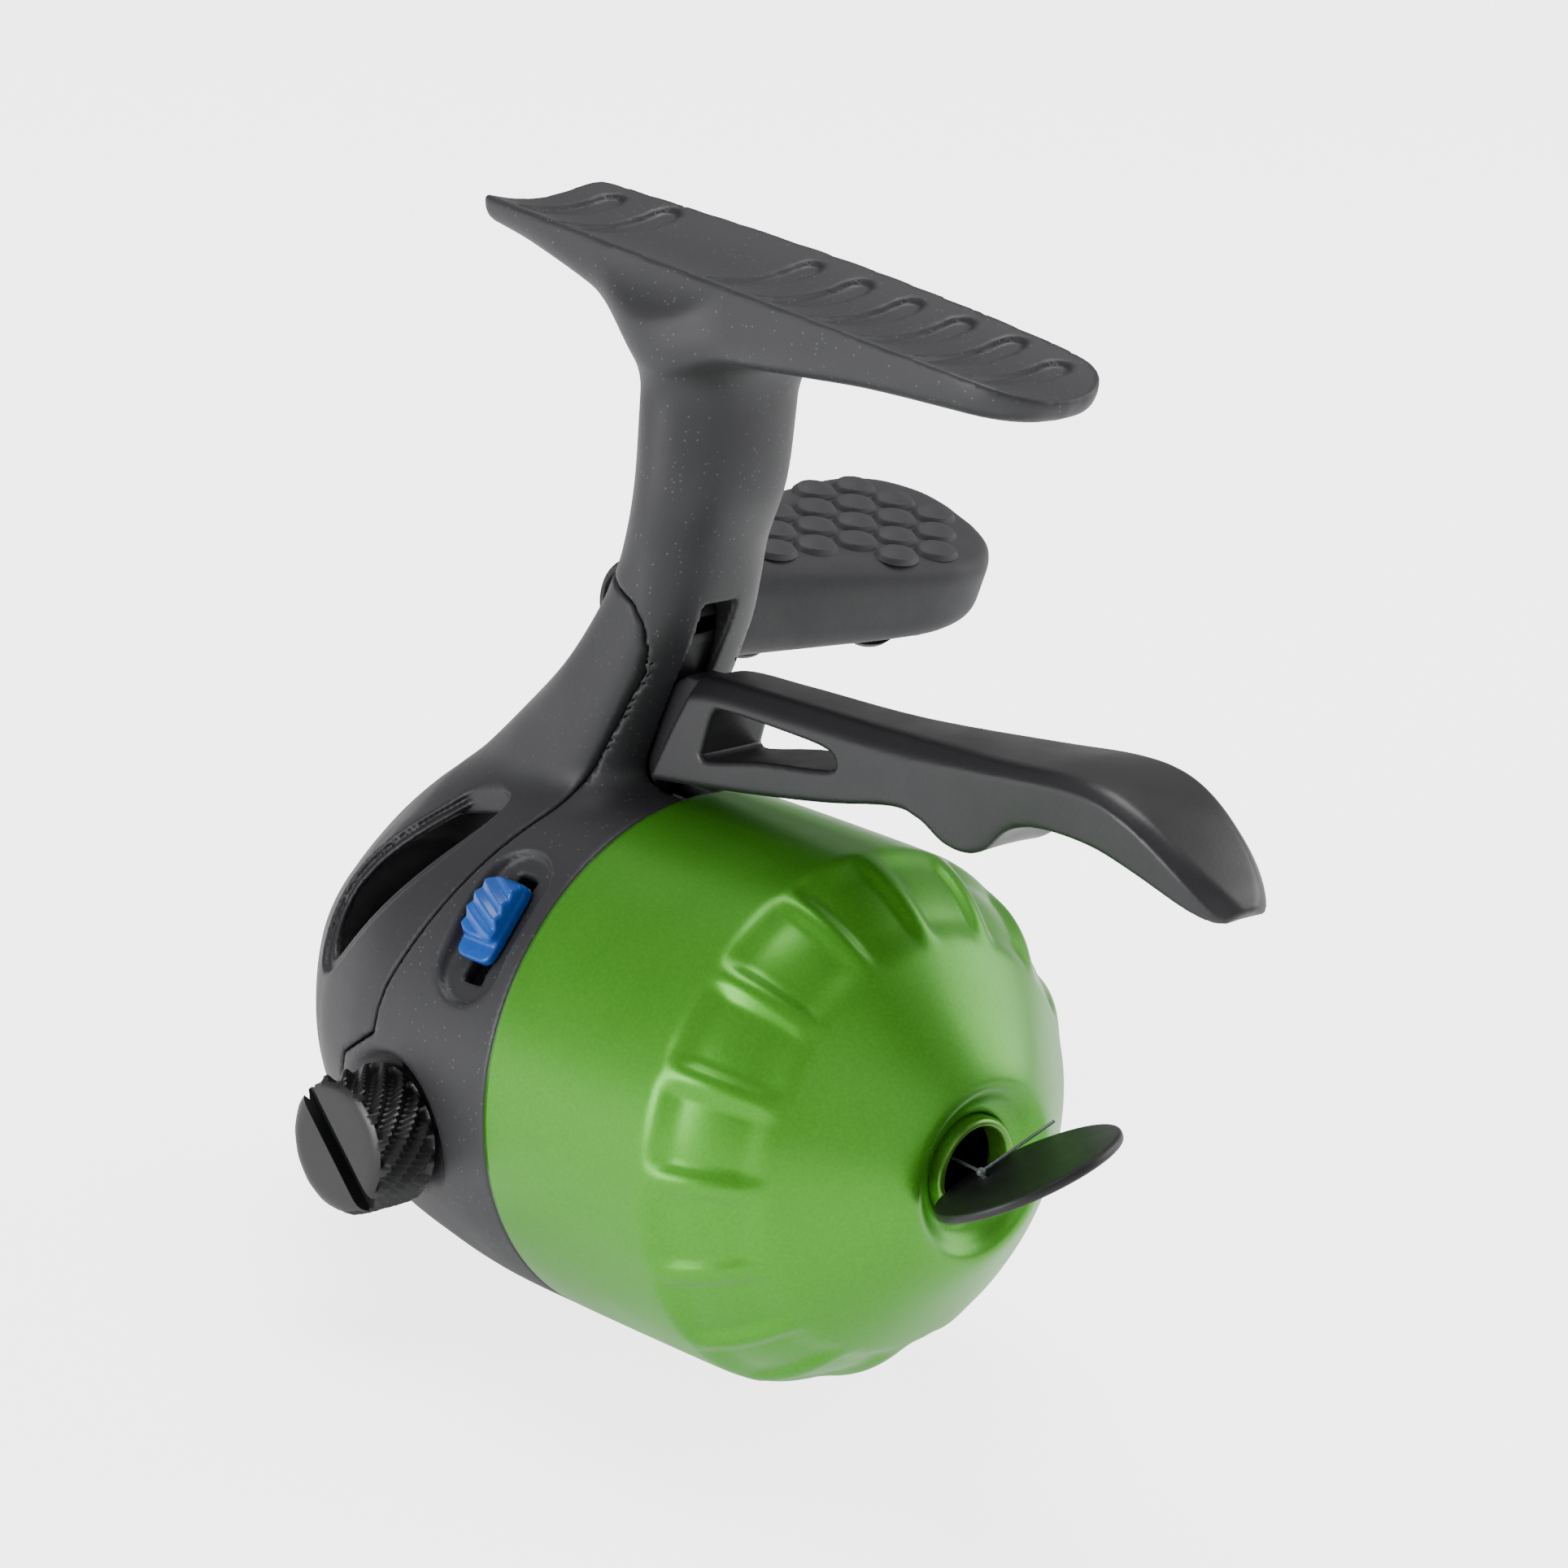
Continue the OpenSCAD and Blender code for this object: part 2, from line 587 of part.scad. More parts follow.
module pinion_gear() {
    color([0.80, 0.66, 0.30]) on_barrel() difference() {
        union() {
            rod(tooth_root, mesh_x - pinion_len / 2, mesh_x + pinion_len / 2);
            rod(2.6, mesh_x + pinion_len / 2 - 0.2, deck_x - 0.3);
            for (i = [0:pinion_teeth - 1]) rotate([(i + 0.5) * 360 / pinion_teeth, 0, 0])
                translate([mesh_x - pinion_len / 2 + 0.1, tooth_root - 0.2, -tooth_w / 2])
                    cube([pinion_len - 0.15, tooth_tip - tooth_root + 0.2, tooth_w]);
        }
        rod(centre_r + run_gap, -20, 20);
    }
}

// ---------- spool ----------
module spool() {
    r0 = tube_r + run_gap;
    color([0.16, 0.16, 0.17]) on_barrel() difference() {
        union() {
            turned() polygon([[r0, spool_x - 0.1], [6, spool_x - 0.1], [6, spool_x], [spool_r, spool_x],
                [spool_r, spool_x + flange_t], [drum_r, spool_x + flange_t],
                [drum_r, spool_x + spool_len - flange_t], [spool_r, spool_x + spool_len - flange_t],
                [spool_r, spool_x + spool_len], [r0, spool_x + spool_len]]);
        }
        // notches for the click tongue
        for (i = [0:23]) rotate([i * 15, 0, 0]) translate([spool_x - 1, spool_r - 1.2, -0.7])
            cube([1 + flange_t / 2, 3, 1.4]);
    }
}
module wound_line() {
    color([0.82, 0.86, 0.88]) on_barrel()
        ring(drum_r + line_fill, drum_r + 0.02, spool_x + flange_t + 0.05, spool_x + spool_len - flange_t - 0.05);
}
module drag_washer() {
    color([0.55, 0.45, 0.35]) on_barrel() ring(9, tube_r + 0.1, deck_x + deck_t + 0.02, deck_x + deck_t + 0.5);
}
module spool_clip() {
    color("silver") on_barrel() difference() {
        ring(6, tube_r - 0.5, spool_x + spool_len + 0.12, spool_x + spool_len + 0.66);
        translate([0, -2, 0]) cube([30, 4, 10]);
    }
}

// ---------- crank ----------
module crank_shaft() {
    color("silver") on_barrel() across(shaft_r, cap_y - cap_len + 2, arm_y + 1.6);
}
module drive_gear() {
    color([0.80, 0.66, 0.30]) on_barrel() difference() {
        union() {
            across(gear_r, gear_y, gear_y + gear_t);
            across(6, gear_y, gear_y + 5);
            translate([crank_x, 0, crank_z]) for (i = [0:gear_teeth - 1]) rotate([0, i * 360 / gear_teeth, 0])
                translate([rib_in, gear_y - rib_h, crank_low - rib_w / 2])
                    cube([rib_out - rib_in, rib_h + eps, rib_w]);
        }
        across(shaft_r + 0.02, -20, 40);
    }
}
module ratchet_wheel() {
    n = 12;
    color([0.70, 0.70, 0.72]) on_barrel() translate([crank_x, -4.4, crank_z]) rotate([90, 0, 0]) difference() {
        linear_extrude(1.8) polygon([for (i = [0:n - 1]) for (k = [0, 1])
            (k == 0 ? 8 : 6.6) * [cos((i + k * 0.12) * 360 / n), sin((i + k * 0.12) * 360 / n)]]);
        translate([0, 0, -1]) cylinder(r = shaft_r + 0.02, h = 5);
    }
}
pawl_nose = [[-1.6, 1.2], [0.9, 2.8], [2.59, 5.11], [2.4, 5.8], [2.7, 6.3], [3.6, 5.6], [2, 0]];
module reverse_pawl() {
    color([0.70, 0.70, 0.72]) on_barrel() translate([pawl_at[0], -4.5, pawl_at[1]]) rotate([90, 0, 0])
        difference() {
            union() {
                cylinder(r = 2, h = 1.6);
                linear_extrude(1.6) polygon(pawl_nose);
            }
            translate([0, 0, -1]) cylinder(r = 1 + run_gap, h = 5);
        }
}
module pawl_pin() {
    color("silver") on_barrel() translate([pawl_at[0], -4.2, pawl_at[1]]) rotate([90, 0, 0]) {
        cylinder(r = 1 - 0.005, h = 3.6);
        translate([0, 0, -0.8]) cylinder(r = 1.6, h = 0.8 + eps);
    }
}
module bushing() {
    difference() {
        across(bushing_r - 0.01, bushing_y, bushing_y + bushing_len);
        across(shaft_r + run_gap, 0, 60);
    }
}
module crank_bushing_left() {
    color([0.75, 0.60, 0.35]) on_barrel() bushing();
}
module crank_bushing_right() {
    color([0.75, 0.60, 0.35]) on_barrel() mirror([0, 1, 0]) bushing();
}
module crank_arm() {
    color([0.12, 0.12, 0.13]) on_barrel() difference() {
        union() {
            across(6.6, arm_y, arm_y + 4.4);
            at_knob() rotate([-90, 0, 0]) cylinder(r = boss_disc_r, h = arm_t);
            // tapered blade between hub and knob
            translate([crank_x, arm_y, crank_z]) rotate([0, -crank_azimuth, 0]) rotate([-arm_lean, 0, 0])
                rotate([-90, 0, 0]) linear_extrude(arm_t) polygon([[-5, 0], [-3.6, -crank_radius],
                    [3.6, -crank_radius], [5, 0]]);
        }
        across(shaft_r + 0.02, 0, arm_y + 1.65);
        across(1.5, 0, 60);
        at_knob() rotate([-90, 0, 0]) translate([0, 0, -5]) cylinder(r = axle_r - 0.4, h = 20);
        // trims what the leaning blade would leave under the hub's face
        translate([-80, arm_y - 10, -80]) cube([160, 10, 160]);
    }
}
module arm_screw() {
    color("silver") on_barrel() difference() {
        union() {
            across(3, arm_y + 4.4, arm_y + 5.9);
            across(1.45, arm_y + 1.7, arm_y + 4.5);
        }
        translate([crank_x - 4, arm_y + 5.2, crank_z - 0.45]) cube([8, 2, 0.9]);
    }
}
module side_cap() {
    color([0.10, 0.10, 0.11]) on_barrel() difference() {
        union() {
            across(cap_r, cap_y - cap_len, cap_y);
            // flutes round the rim
            for (i = [0:15]) translate([crank_x, 0, crank_z]) rotate([0, i * 22.5, 0]) translate([cap_r - 0.3, cap_y, 0])
                rotate([90, 0, 0]) cylinder(r = 0.75, h = cap_len - 0.8, $fn = 24);
        }
        across(shaft_r + 0.02, cap_y - cap_len + 1.9, cap_y + 1);
        translate([crank_x, cap_y - cap_len, crank_z]) rotate([0, -45, 0]) translate([-10, -0.2, -0.6])
            cube([20, 1.4, 1.2]);
    }
}
module knob_axle() {
    color("silver") on_barrel() at_knob() rotate([-90, 0, 0]) {
        translate([0, 0, 0.3]) cylinder(r = axle_r - 0.41, h = arm_t);
        translate([0, 0, arm_t + 0.02]) cylinder(r = axle_r, h = core_end - arm_t - 0.9);
        translate([0, 0, core_end - 1]) cylinder(r = 2.8, h = 0.9);
    }
}
module knob_core() {
    color([0.2, 0.2, 0.2]) on_barrel() at_knob() rotate([-90, 0, 0]) translate([0, 0, arm_t + knob_gap])
        difference() {
            cylinder(r = core_r, h = core_end - arm_t - knob_gap);
            translate([0, 0, -1]) cylinder(r = axle_r + run_gap, h = grip_len + 2);
            translate([0, 0, core_end - arm_t - knob_gap - 1.4]) cylinder(r = 3, h = 4);
        }
}
module knob_grip() {
    paddle_at = arm_t + knob_gap + grip_len - grip_w / 2;
    color([0.15, 0.15, 0.16]) on_barrel() at_knob() rotate([0, grip_turn, 0]) rotate([-90, 0, 0]) difference() {
        translate([0, -grip_shift, 0]) hull() {
            translate([0, grip_shift / 2, arm_t + knob_gap]) cylinder(d = grip_root_d, h = 1, $fn = 32);
            translate([0, 0, paddle_at]) rotate([90, 0, 0]) {
                cylinder(d = grip_w, h = grip_t - 3.4, center = true, $fn = 48);
                cylinder(d = grip_w - 3, h = grip_t, center = true, $fn = 48);
            }
        }
        cylinder(r = core_r + 0.01, h = core_end + 0.3);
    }
}

// ---------- bite alert ----------
module alert_slider() {
    color([0.05, 0.35, 0.75]) on_barrel() at_alert() {
        translate([-2.7, alert_r + 0.08, -3.6]) cube([4.4, 1, 8]);
        difference() {
            translate([-2.7, alert_r + 0.9, -1.8]) cube([4.4, 2.4, 6]);
            for (i = [0:3]) translate([-3, alert_r + 2.9, i * 1.4 - 1.2]) cube([6, 1, 0.6]);
        }
        translate([-alert_slot_w / 2 + 0.2, alert_r - 2.6, -1]) cube([alert_slot_w - 0.4, 3, 4]);
    }
}
module click_tongue() {
    color("silver") on_barrel() at_alert() {
        translate([-1, alert_r - 3.3, 0.2]) cube([spool_x - alert_x + 0.8, 0.6, 1.6]);
        translate([-1, alert_r - 3.3, -0.6]) cube([3, 0.65, 3.2]);
    }
}

body_frame();
rear_cover();
cover_screws();
deck_plate();
deck_screws();
front_cone();
nose_ring();
trigger_pin();
guide_pin();
plunger_spring();
crank_bushing_left();
crank_bushing_right();
drag_washer();
spool_clip();
pawl_pin();
line_keeper();
line_lead();
trigger_lever();
thrust_yoke();
centre_shaft();
spinner_head();
head_nut();
pickup_pin();
pinion_gear();
spool();
wound_line();
crank_shaft();
drive_gear();
ratchet_wheel();
crank_arm();
arm_screw();
side_cap();
knob_axle();
knob_core();
knob_grip();
alert_slider();
click_tongue();
reverse_pawl();
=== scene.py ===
# %% [markdown]
# # A spincast reel, dressed for the studio
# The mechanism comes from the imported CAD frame. This script gives every visible part its real form
# and finish. Each part is built in millimetres, in the barrel's own frame, and then turned into place,
# because the whole barrel points a few degrees up from the rod.

# %% Load the frame
import math
import bpy
import bmesh
import numpy as np
from mathutils import Matrix, Vector
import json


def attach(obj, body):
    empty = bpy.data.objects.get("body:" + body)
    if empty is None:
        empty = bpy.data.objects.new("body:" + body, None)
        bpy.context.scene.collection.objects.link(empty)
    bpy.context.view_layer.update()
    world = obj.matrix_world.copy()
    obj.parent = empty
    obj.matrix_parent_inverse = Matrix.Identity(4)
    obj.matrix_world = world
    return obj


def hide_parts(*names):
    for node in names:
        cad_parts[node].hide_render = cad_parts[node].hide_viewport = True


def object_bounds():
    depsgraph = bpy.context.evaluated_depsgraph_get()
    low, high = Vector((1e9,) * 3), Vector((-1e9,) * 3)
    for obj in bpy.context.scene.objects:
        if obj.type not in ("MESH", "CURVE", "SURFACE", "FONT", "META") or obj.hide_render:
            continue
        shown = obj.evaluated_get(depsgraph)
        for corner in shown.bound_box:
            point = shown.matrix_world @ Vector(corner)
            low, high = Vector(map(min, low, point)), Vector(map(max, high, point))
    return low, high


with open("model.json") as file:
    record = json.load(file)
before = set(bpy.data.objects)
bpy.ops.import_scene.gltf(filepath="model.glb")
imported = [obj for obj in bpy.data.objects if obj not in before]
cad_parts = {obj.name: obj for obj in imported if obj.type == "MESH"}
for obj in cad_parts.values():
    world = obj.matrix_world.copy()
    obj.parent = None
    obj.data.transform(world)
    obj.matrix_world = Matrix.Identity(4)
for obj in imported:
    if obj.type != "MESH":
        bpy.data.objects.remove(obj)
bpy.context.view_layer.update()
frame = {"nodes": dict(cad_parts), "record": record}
nodes = frame["nodes"]

# %% [markdown]
# ## Places shared with the mechanism
# The barrel's rim lies 73 mm under the rod and points up by 4.8 degrees. The crank turns on an axis that
# crosses the barrel behind its rim. A maker keeps such numbers in one place, so that the covers, the
# knob and the trigger all meet the parts that turn inside them.

# %% The barrel's frame and the crank's
PITCH = math.radians(4.8)
BARREL = (Matrix.Scale(0.001, 4) @ Matrix.Translation((-1.4, 0, -73)) @ Matrix.Rotation(-PITCH, 4, "Y"))
CRANK_X, CRANK_Z = -14.3, -6.9
ARM_Y, ARM_T, CRANK_R = 26.6, 3.0, 44.3
KNOB = (Matrix.Translation((CRANK_X, ARM_Y, CRANK_Z)) @ Matrix.Rotation(math.radians(-35.5), 4, "Y")
        @ Matrix.Rotation(math.radians(-1.8), 4, "X") @ Matrix.Translation((0, 0, CRANK_R)))
GRIP = KNOB @ Matrix.Rotation(math.radians(53.5), 4, "Y") @ Matrix.Rotation(math.radians(-90), 4, "X")
print("knob axis starts at", [round(v, 2) for v in KNOB.translation])

# %% [markdown]
# ## Camera
# The reel is seen from its front right, from a little above the rod, through a long lens, so the foot
# hardly narrows towards the back.

# %% Make the camera
right, up, back = (0.69213, 0.71251, 0.11528), (-0.32334, 0.16329, 0.93209), (0.64529, -0.68240, 0.34340)
camera = bpy.data.objects.new("camera", bpy.data.cameras.new("camera"))
camera.data.lens, camera.data.sensor_width = 121.37, 36.0
camera.data.clip_end = 20
location = (0.3106, -0.3216, 0.1182)
camera.matrix_world = Matrix([(right[i], up[i], back[i], location[i]) for i in range(3)] + [(0, 0, 0, 1)])
bpy.context.collection.objects.link(camera)
bpy.context.scene.camera = camera
print("camera lens", camera.data.lens, "mm")

# %% [markdown]
# ## Small helpers for finishes
# Colours are written as the hex values that a paint chart gives, and one function turns them into the
# linear light that the renderer adds up. Another adds one node with its settings and its links.

# %% Colour and node helpers
def linear(chart):
    parts = [int(chart[i:i + 2], 16) / 255 for i in (1, 3, 5)]
    return tuple(p / 12.92 if p <= 0.04045 else ((p + 0.055) / 1.055) ** 2.4 for p in parts) + (1.0,)


def put(tree, kind, given=None, **settings):
    node = tree.nodes.new(kind)
    for name, value in settings.items():
        setattr(node, name, value)
    for name, value in (given or {}).items():
        if isinstance(value, bpy.types.NodeSocket):
            tree.links.new(value, node.inputs[name])
        else:
            node.inputs[name].default_value = value
    return node


def finish(name, colour, roughness, metallic=0.0, **sockets):
    material = bpy.data.materials.new(name)
    material.use_nodes = True
    shader = material.node_tree.nodes["Principled BSDF"]
    shader.inputs["Base Color"].default_value = linear(colour)
    shader.inputs["Roughness"].default_value = roughness
    shader.inputs["Metallic"].default_value = metallic
    for socket, value in sockets.items():
        shader.inputs[socket.replace("_", " ")].default_value = value
    return material, material.node_tree, shader


def grain(tree, shader, size_mm, height_mm, strength=1.0):
    place = put(tree, "ShaderNodeTexCoord").outputs["Object"]
    noise = put(tree, "ShaderNodeTexNoise", {"Vector": place, "Scale": 1000 / size_mm, "Detail": 3.0})
    bump = put(tree, "ShaderNodeBump", {"Height": noise.outputs["Fac"], "Strength": strength,
                                        "Distance": height_mm / 1000})
    tree.links.new(bump.outputs["Normal"], shader.inputs["Normal"])
    return place, noise.outputs["Fac"]


def vary(tree, shader, place, size_mm, low, high, socket="Roughness"):
    broad = put(tree, "ShaderNodeTexNoise", {"Vector": place, "Scale": 1000 / size_mm, "Detail": 4.0})
    span = put(tree, "ShaderNodeMapRange", {"Value": broad.outputs["Fac"], "From Min": 0.3, "From Max": 0.7,
                                            "To Min": low, "To Max": high})
    tree.links.new(span.outputs["Result"], shader.inputs[socket])


def two_tone(tree, shader, mask, dark, light):
    mix = put(tree, "ShaderNodeMix", {"Factor": mask, 6: linear(dark), 7: linear(light)}, data_type="RGBA")
    tree.links.new(mix.outputs[2], shader.inputs["Base Color"])
print("helpers ready")

# %% [markdown]
# ## Graphite-filled nylon
# The foot, housing and rear cover are injection moulded in nylon that is filled with graphite and glass.
# It comes out charcoal and matt, with fine pale flecks under the skin and a light spark-eroded grain.
# The flecks are 0.15 mm in the real plastic, and are drawn at 0.25 mm so that they can be seen.

# %% Moulded charcoal finishes
def graphite_nylon(name, dark, light, fleck):
    material, tree, shader = finish(name, dark, 0.5, Specular_IOR_Level=0.5)
    place, fine = grain(tree, shader, 0.35, 0.012)
    flecks = put(tree, "ShaderNodeTexVoronoi", {"Vector": place, "Scale": 1000 / 0.55, "Randomness": 1.0})
    spot = put(tree, "ShaderNodeMapRange", {"Value": flecks.outputs["Distance"], "From Min": 0.10,
                                            "From Max": 0.22, "To Min": 1.0, "To Max": 0.0})
    chance = put(tree, "ShaderNodeSeparateColor", {"Color": flecks.outputs["Color"]})
    some = put(tree, "ShaderNodeMath", {0: chance.outputs[0], 1: 0.62}, operation="GREATER_THAN")
    mask = put(tree, "ShaderNodeMath", {0: spot.outputs[0], 1: some.outputs[0]}, operation="MULTIPLY")
    soft = put(tree, "ShaderNodeMath", {0: mask.outputs[0], 1: fleck}, operation="MULTIPLY")
    two_tone(tree, shader, soft.outputs[0], dark, light)
    vary(tree, shader, place, 9, 0.44, 0.56)
    return material


housing_finish = graphite_nylon("graphite_nylon", "#28282b", "#8c8c94", 0.26)
cover_finish = graphite_nylon("graphite_nylon_cover", "#222225", "#77777f", 0.14)
print("made", housing_finish.name, cover_finish.name)

# %% [markdown]
# ## Black nylon, soft rubber and bright acetal
# The trigger, the crank and the side cap are plain black nylon, a little glossier than the housing. The
# knob is soft rubber, which scatters light along its edges. The alert switch is blue acetal, dyed
# through, smooth from the mould.

# %% Plain mouldings
def plain_moulding(name, dark, light, roughness, size, height, **more):
    material, tree, shader = finish(name, dark, roughness, **more)
    place, fine = grain(tree, shader, size, height)
    two_tone(tree, shader, fine, dark, light)
    vary(tree, shader, place, 6, roughness - 0.05, roughness + 0.06)
    return material


trigger_finish = plain_moulding("black_nylon", "#19191b", "#232326", 0.38, 0.3, 0.008)
cap_finish = plain_moulding("black_nylon_cap", "#111112", "#19191b", 0.36, 0.25, 0.006)
rubber_finish = plain_moulding("soft_rubber", "#19191c", "#222226", 0.62, 0.4, 0.012, Sheen_Weight=0.08,
                               Sheen_Roughness=0.5)
switch_finish = plain_moulding("blue_acetal", "#06459a", "#0d5bb8", 0.3, 0.5, 0.006)
disc_finish = plain_moulding("black_sheet", "#0c0c0d", "#141415", 0.45, 0.3, 0.005)
print("made five mouldings")

# %% [markdown]
# ## Anodised aluminium
# The cone is spun from aluminium sheet, bead-blasted, dyed lime green and sealed. The dye sits in a clear
# oxide, so the metal underneath still shines softly through it. The blast grain is 0.1 mm, and is drawn
# at 0.3 mm.

# %% Green anodised finish
def anodised(name, deep, bright, roughness):
    material, tree, shader = finish(name, bright, roughness, metallic=0.55, Coat_Weight=0.25,
                                    Coat_Roughness=0.28)
    place, fine = grain(tree, shader, 0.3, 0.006)
    two_tone(tree, shader, fine, deep, bright)
    vary(tree, shader, place, 7, roughness - 0.03, roughness + 0.05)
    return material


cone_finish = anodised("green_anodised_aluminium", "#398c12", "#52a71f", 0.36)
nose_finish = anodised("bright_rolled_edge", "#4a8f20", "#6fae3c", 0.25)
print("made", cone_finish.name)

# %% [markdown]
# ## Metals and the soft parts inside
# Turned steel shows fine rings, brass and bronze are warmer, and cast alloy is greyer. All keep the
# default index of refraction, and their colour is the colour of their reflection.

# %% Inner finishes
def metal(name, dark, light, roughness, size=0.4):
    material, tree, shader = finish(name, dark, roughness, metallic=1.0)
    place, fine = grain(tree, shader, size, 0.004)
    two_tone(tree, shader, fine, dark, light)
    vary(tree, shader, place, 3, roughness - 0.06, roughness + 0.08)
    return material


finishes = {
    "moulded_frame": housing_finish, "moulded_cover": cover_finish, "green_anodised": cone_finish,
    "nose_trim": nose_finish, "black_nylon": trigger_finish, "soft_grip": rubber_finish,
    "blue_switch": switch_finish, "keeper_black": disc_finish,
    "line_clear": plain_moulding("clear_monofilament", "#7c8486", "#959c9e", 0.15, 1.5, 0.002,
                                 Transmission_Weight=0.6),
    "steel": metal("turned_steel", "#8f8f92", "#b4b4b8", 0.3),
    "spring_steel": metal("spring_steel", "#85858a", "#a5a5aa", 0.26),
    "cast_deck": metal("cast_alloy", "#8d8d90", "#a9a9ac", 0.45, 0.8),
    "spun_head": metal("polished_alloy", "#b4b4b8", "#cfcfd2", 0.2),
    "gear_brass": metal("machined_brass", "#b08a3c", "#cfa955", 0.3),
    "bushing_bronze": metal("sintered_bronze", "#8a6232", "#a87c46", 0.45, 0.6),
    "felt": plain_moulding("pressed_felt", "#5f4d39", "#7b664d", 0.95, 0.5, 0.05, Sheen_Weight=0.4),
}
slots = {row["node"]: row["material_slot"] for row in frame["record"]["subparts"]}
for name, node in nodes.items():
    if not node.material_slots:
        node.data.materials.append(None)
    for place in node.material_slots:
        place.material = finishes[slots[name]]
print("dressed", len(nodes), "CAD nodes")

# %% [markdown]
# ## Moulded forms as distance fields
# A moulded casing is made of plain forms that melt into each other with soft fillets. A distance field
# says that well: it is a function that is negative inside the part, and a smooth maximum or minimum of
# two fields trims or joins them with a round edge. The skin is then laid on a grid, one vertex in each
# cell that the surface crosses, and every vertex slides along the slope until it lies on the surface.

# %% Join, trim and outline helpers
def trim(a, b, k):
    h = np.clip(0.5 + 0.5 * (a - b) / k, 0, 1)
    return b + (a - b) * h + k * h * (1 - h)


def join(a, b, k):
    return -trim(-a, -b, k)


def flow(points, steps=6):
    """A smooth line through the points, denser by the given number of steps."""
    p = np.asarray(points, float)
    p = np.vstack([2 * p[0] - p[1], p, 2 * p[-1] - p[-2]])
    out = []
    for i in range(1, len(p) - 2):
        for t in np.arange(steps) / steps:
            out.append(0.5 * (2 * p[i] + (p[i + 1] - p[i - 1]) * t
                              + (2 * p[i - 1] - 5 * p[i] + 4 * p[i + 1] - p[i + 2]) * t * t
                              + (3 * p[i] - p[i - 1] - 3 * p[i + 1] + p[i + 2]) * t ** 3))
    return np.array(out + [p[-2]])


def outline(u, v, points):
    """Distance in a plane to a closed outline, negative inside it."""
    p = np.asarray(points, float)
    near, side = None, None
    for a, b in zip(p, np.roll(p, -1, axis=0)):
        e = b - a
        wu, wv = u - a[0], v - a[1]
        t = np.clip((wu * e[0] + wv * e[1]) / (e @ e + 1e-12), 0, 1)
        d = (wu - t * e[0]) ** 2 + (wv - t * e[1]) ** 2
        above, below, left = wv >= 0, v < b[1], e[0] * wv > e[1] * wu
        turn = (above & below & left) | (~above & ~below & ~left)
        near = d if near is None else np.minimum(near, d)
        side = turn if side is None else side ^ turn
    return np.where(side, -1, 1) * np.sqrt(near)


def along(x, table, column=1):
    table = np.asarray(table, float)
    return np.interp(x, table[:, 0], table[:, column])
print("field helpers ready")

# %% Lay a skin on a field
def skin(name, field, low, high, step, place=BARREL):
    axes = [np.arange(low[i], high[i] + step, step) for i in range(3)]
    size = [len(a) for a in axes]
    values = field(axes[0][:, None, None], axes[1][None, :, None], axes[2][None, None, :])
    values = np.broadcast_to(values, size).astype(np.float32)
    inside = values < 0
    full = np.zeros([n - 1 for n in size], np.uint8)
    corner = [(i, j, k) for i in (0, 1) for j in (0, 1) for k in (0, 1)]
    cut = [tuple(slice(c[d], size[d] - 1 + c[d]) for d in range(3)) for c in corner]
    for c in cut:
        full += inside[c]
    cells = np.argwhere((full > 0) & (full < 8))
    number = np.full(full.shape, -1, np.int64)
    number[tuple(cells.T)] = np.arange(len(cells))
    total, count = np.zeros((len(cells), 3)), np.zeros(len(cells))
    for axis in range(3):
        for start in [c for c in corner if c[axis] == 0]:
            end = tuple(c + (d == axis) for d, c in enumerate(start))
            a = values[tuple((cells + start).T)]
            b = values[tuple((cells + end).T)]
            crosses = (a < 0) != (b < 0)
            spot = np.tile(np.asarray(start, float), (len(cells), 1))
            spot[:, axis] = np.where(crosses, a / np.where(crosses, a - b, 1), 0)
            total += np.where(crosses[:, None], spot, 0)
            count += crosses
    points = np.asarray(low, float) + (cells + total / count[:, None]) * step
    faces = []
    for axis in range(3):
        e, f = (axis + 1) % 3, (axis + 2) % 3
        lower = tuple(slice(0, size[d] - 1) if d == axis else slice(1, size[d] - 1) for d in range(3))
        upper = tuple(slice(1, size[d]) if d == axis else slice(1, size[d] - 1) for d in range(3))
        for out, where in ((False, ~inside[lower] & inside[upper]), (True, inside[lower] & ~inside[upper])):
            spots = np.argwhere(where) + [0 if d == axis else 1 for d in range(3)]
            ring = []
            for de, df in ((-1, -1), (0, -1), (0, 0), (-1, 0)):
                near = spots.copy()
                near[:, e] += de
                near[:, f] += df
                ring.append(number[tuple(near.T)])
            ring = np.stack(ring, axis=1)
            faces.append(ring if out else ring[:, ::-1])
    faces = np.vstack(faces)
    for _ in range(3):
        x, y, z = points.T
        f = field(x, y, z)
        h = 0.02
        slope = np.stack([field(x + h, y, z) - field(x - h, y, z), field(x, y + h, z) - field(x, y - h, z),
                          field(x, y, z + h) - field(x, y, z - h)], axis=1) / (2 * h)
        steep = np.maximum((slope ** 2).sum(axis=1), 0.05)
        move = slope * (f / steep)[:, None]
        length = np.sqrt((move ** 2).sum(axis=1))
        points = points - move * np.minimum(1, 0.4 * step / np.maximum(length, 1e-9))[:, None]
    return shape(name, points, faces.tolist(), place)


def shape(name, points, faces, place):
    mesh = bpy.data.meshes.new(name)
    m = np.array(place)
    mesh.from_pydata((np.asarray(points) @ m[:3, :3].T + m[:3, 3]).tolist(), [], faces)
    mesh.validate()
    mesh.shade_smooth()
    piece = bpy.data.objects.new(name, mesh)
    bpy.context.collection.objects.link(piece)
    print(name, "has", len(mesh.polygons), "faces")
    return piece


def settle(piece, material, body, *cad_nodes):
    """The finished piece takes its finish, rides on its body and stands for its CAD nodes."""
    if material:
        piece.data.materials.clear()
        piece.data.materials.append(material)
    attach(piece, body)
    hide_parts(*cad_nodes)
print("skinning ready")

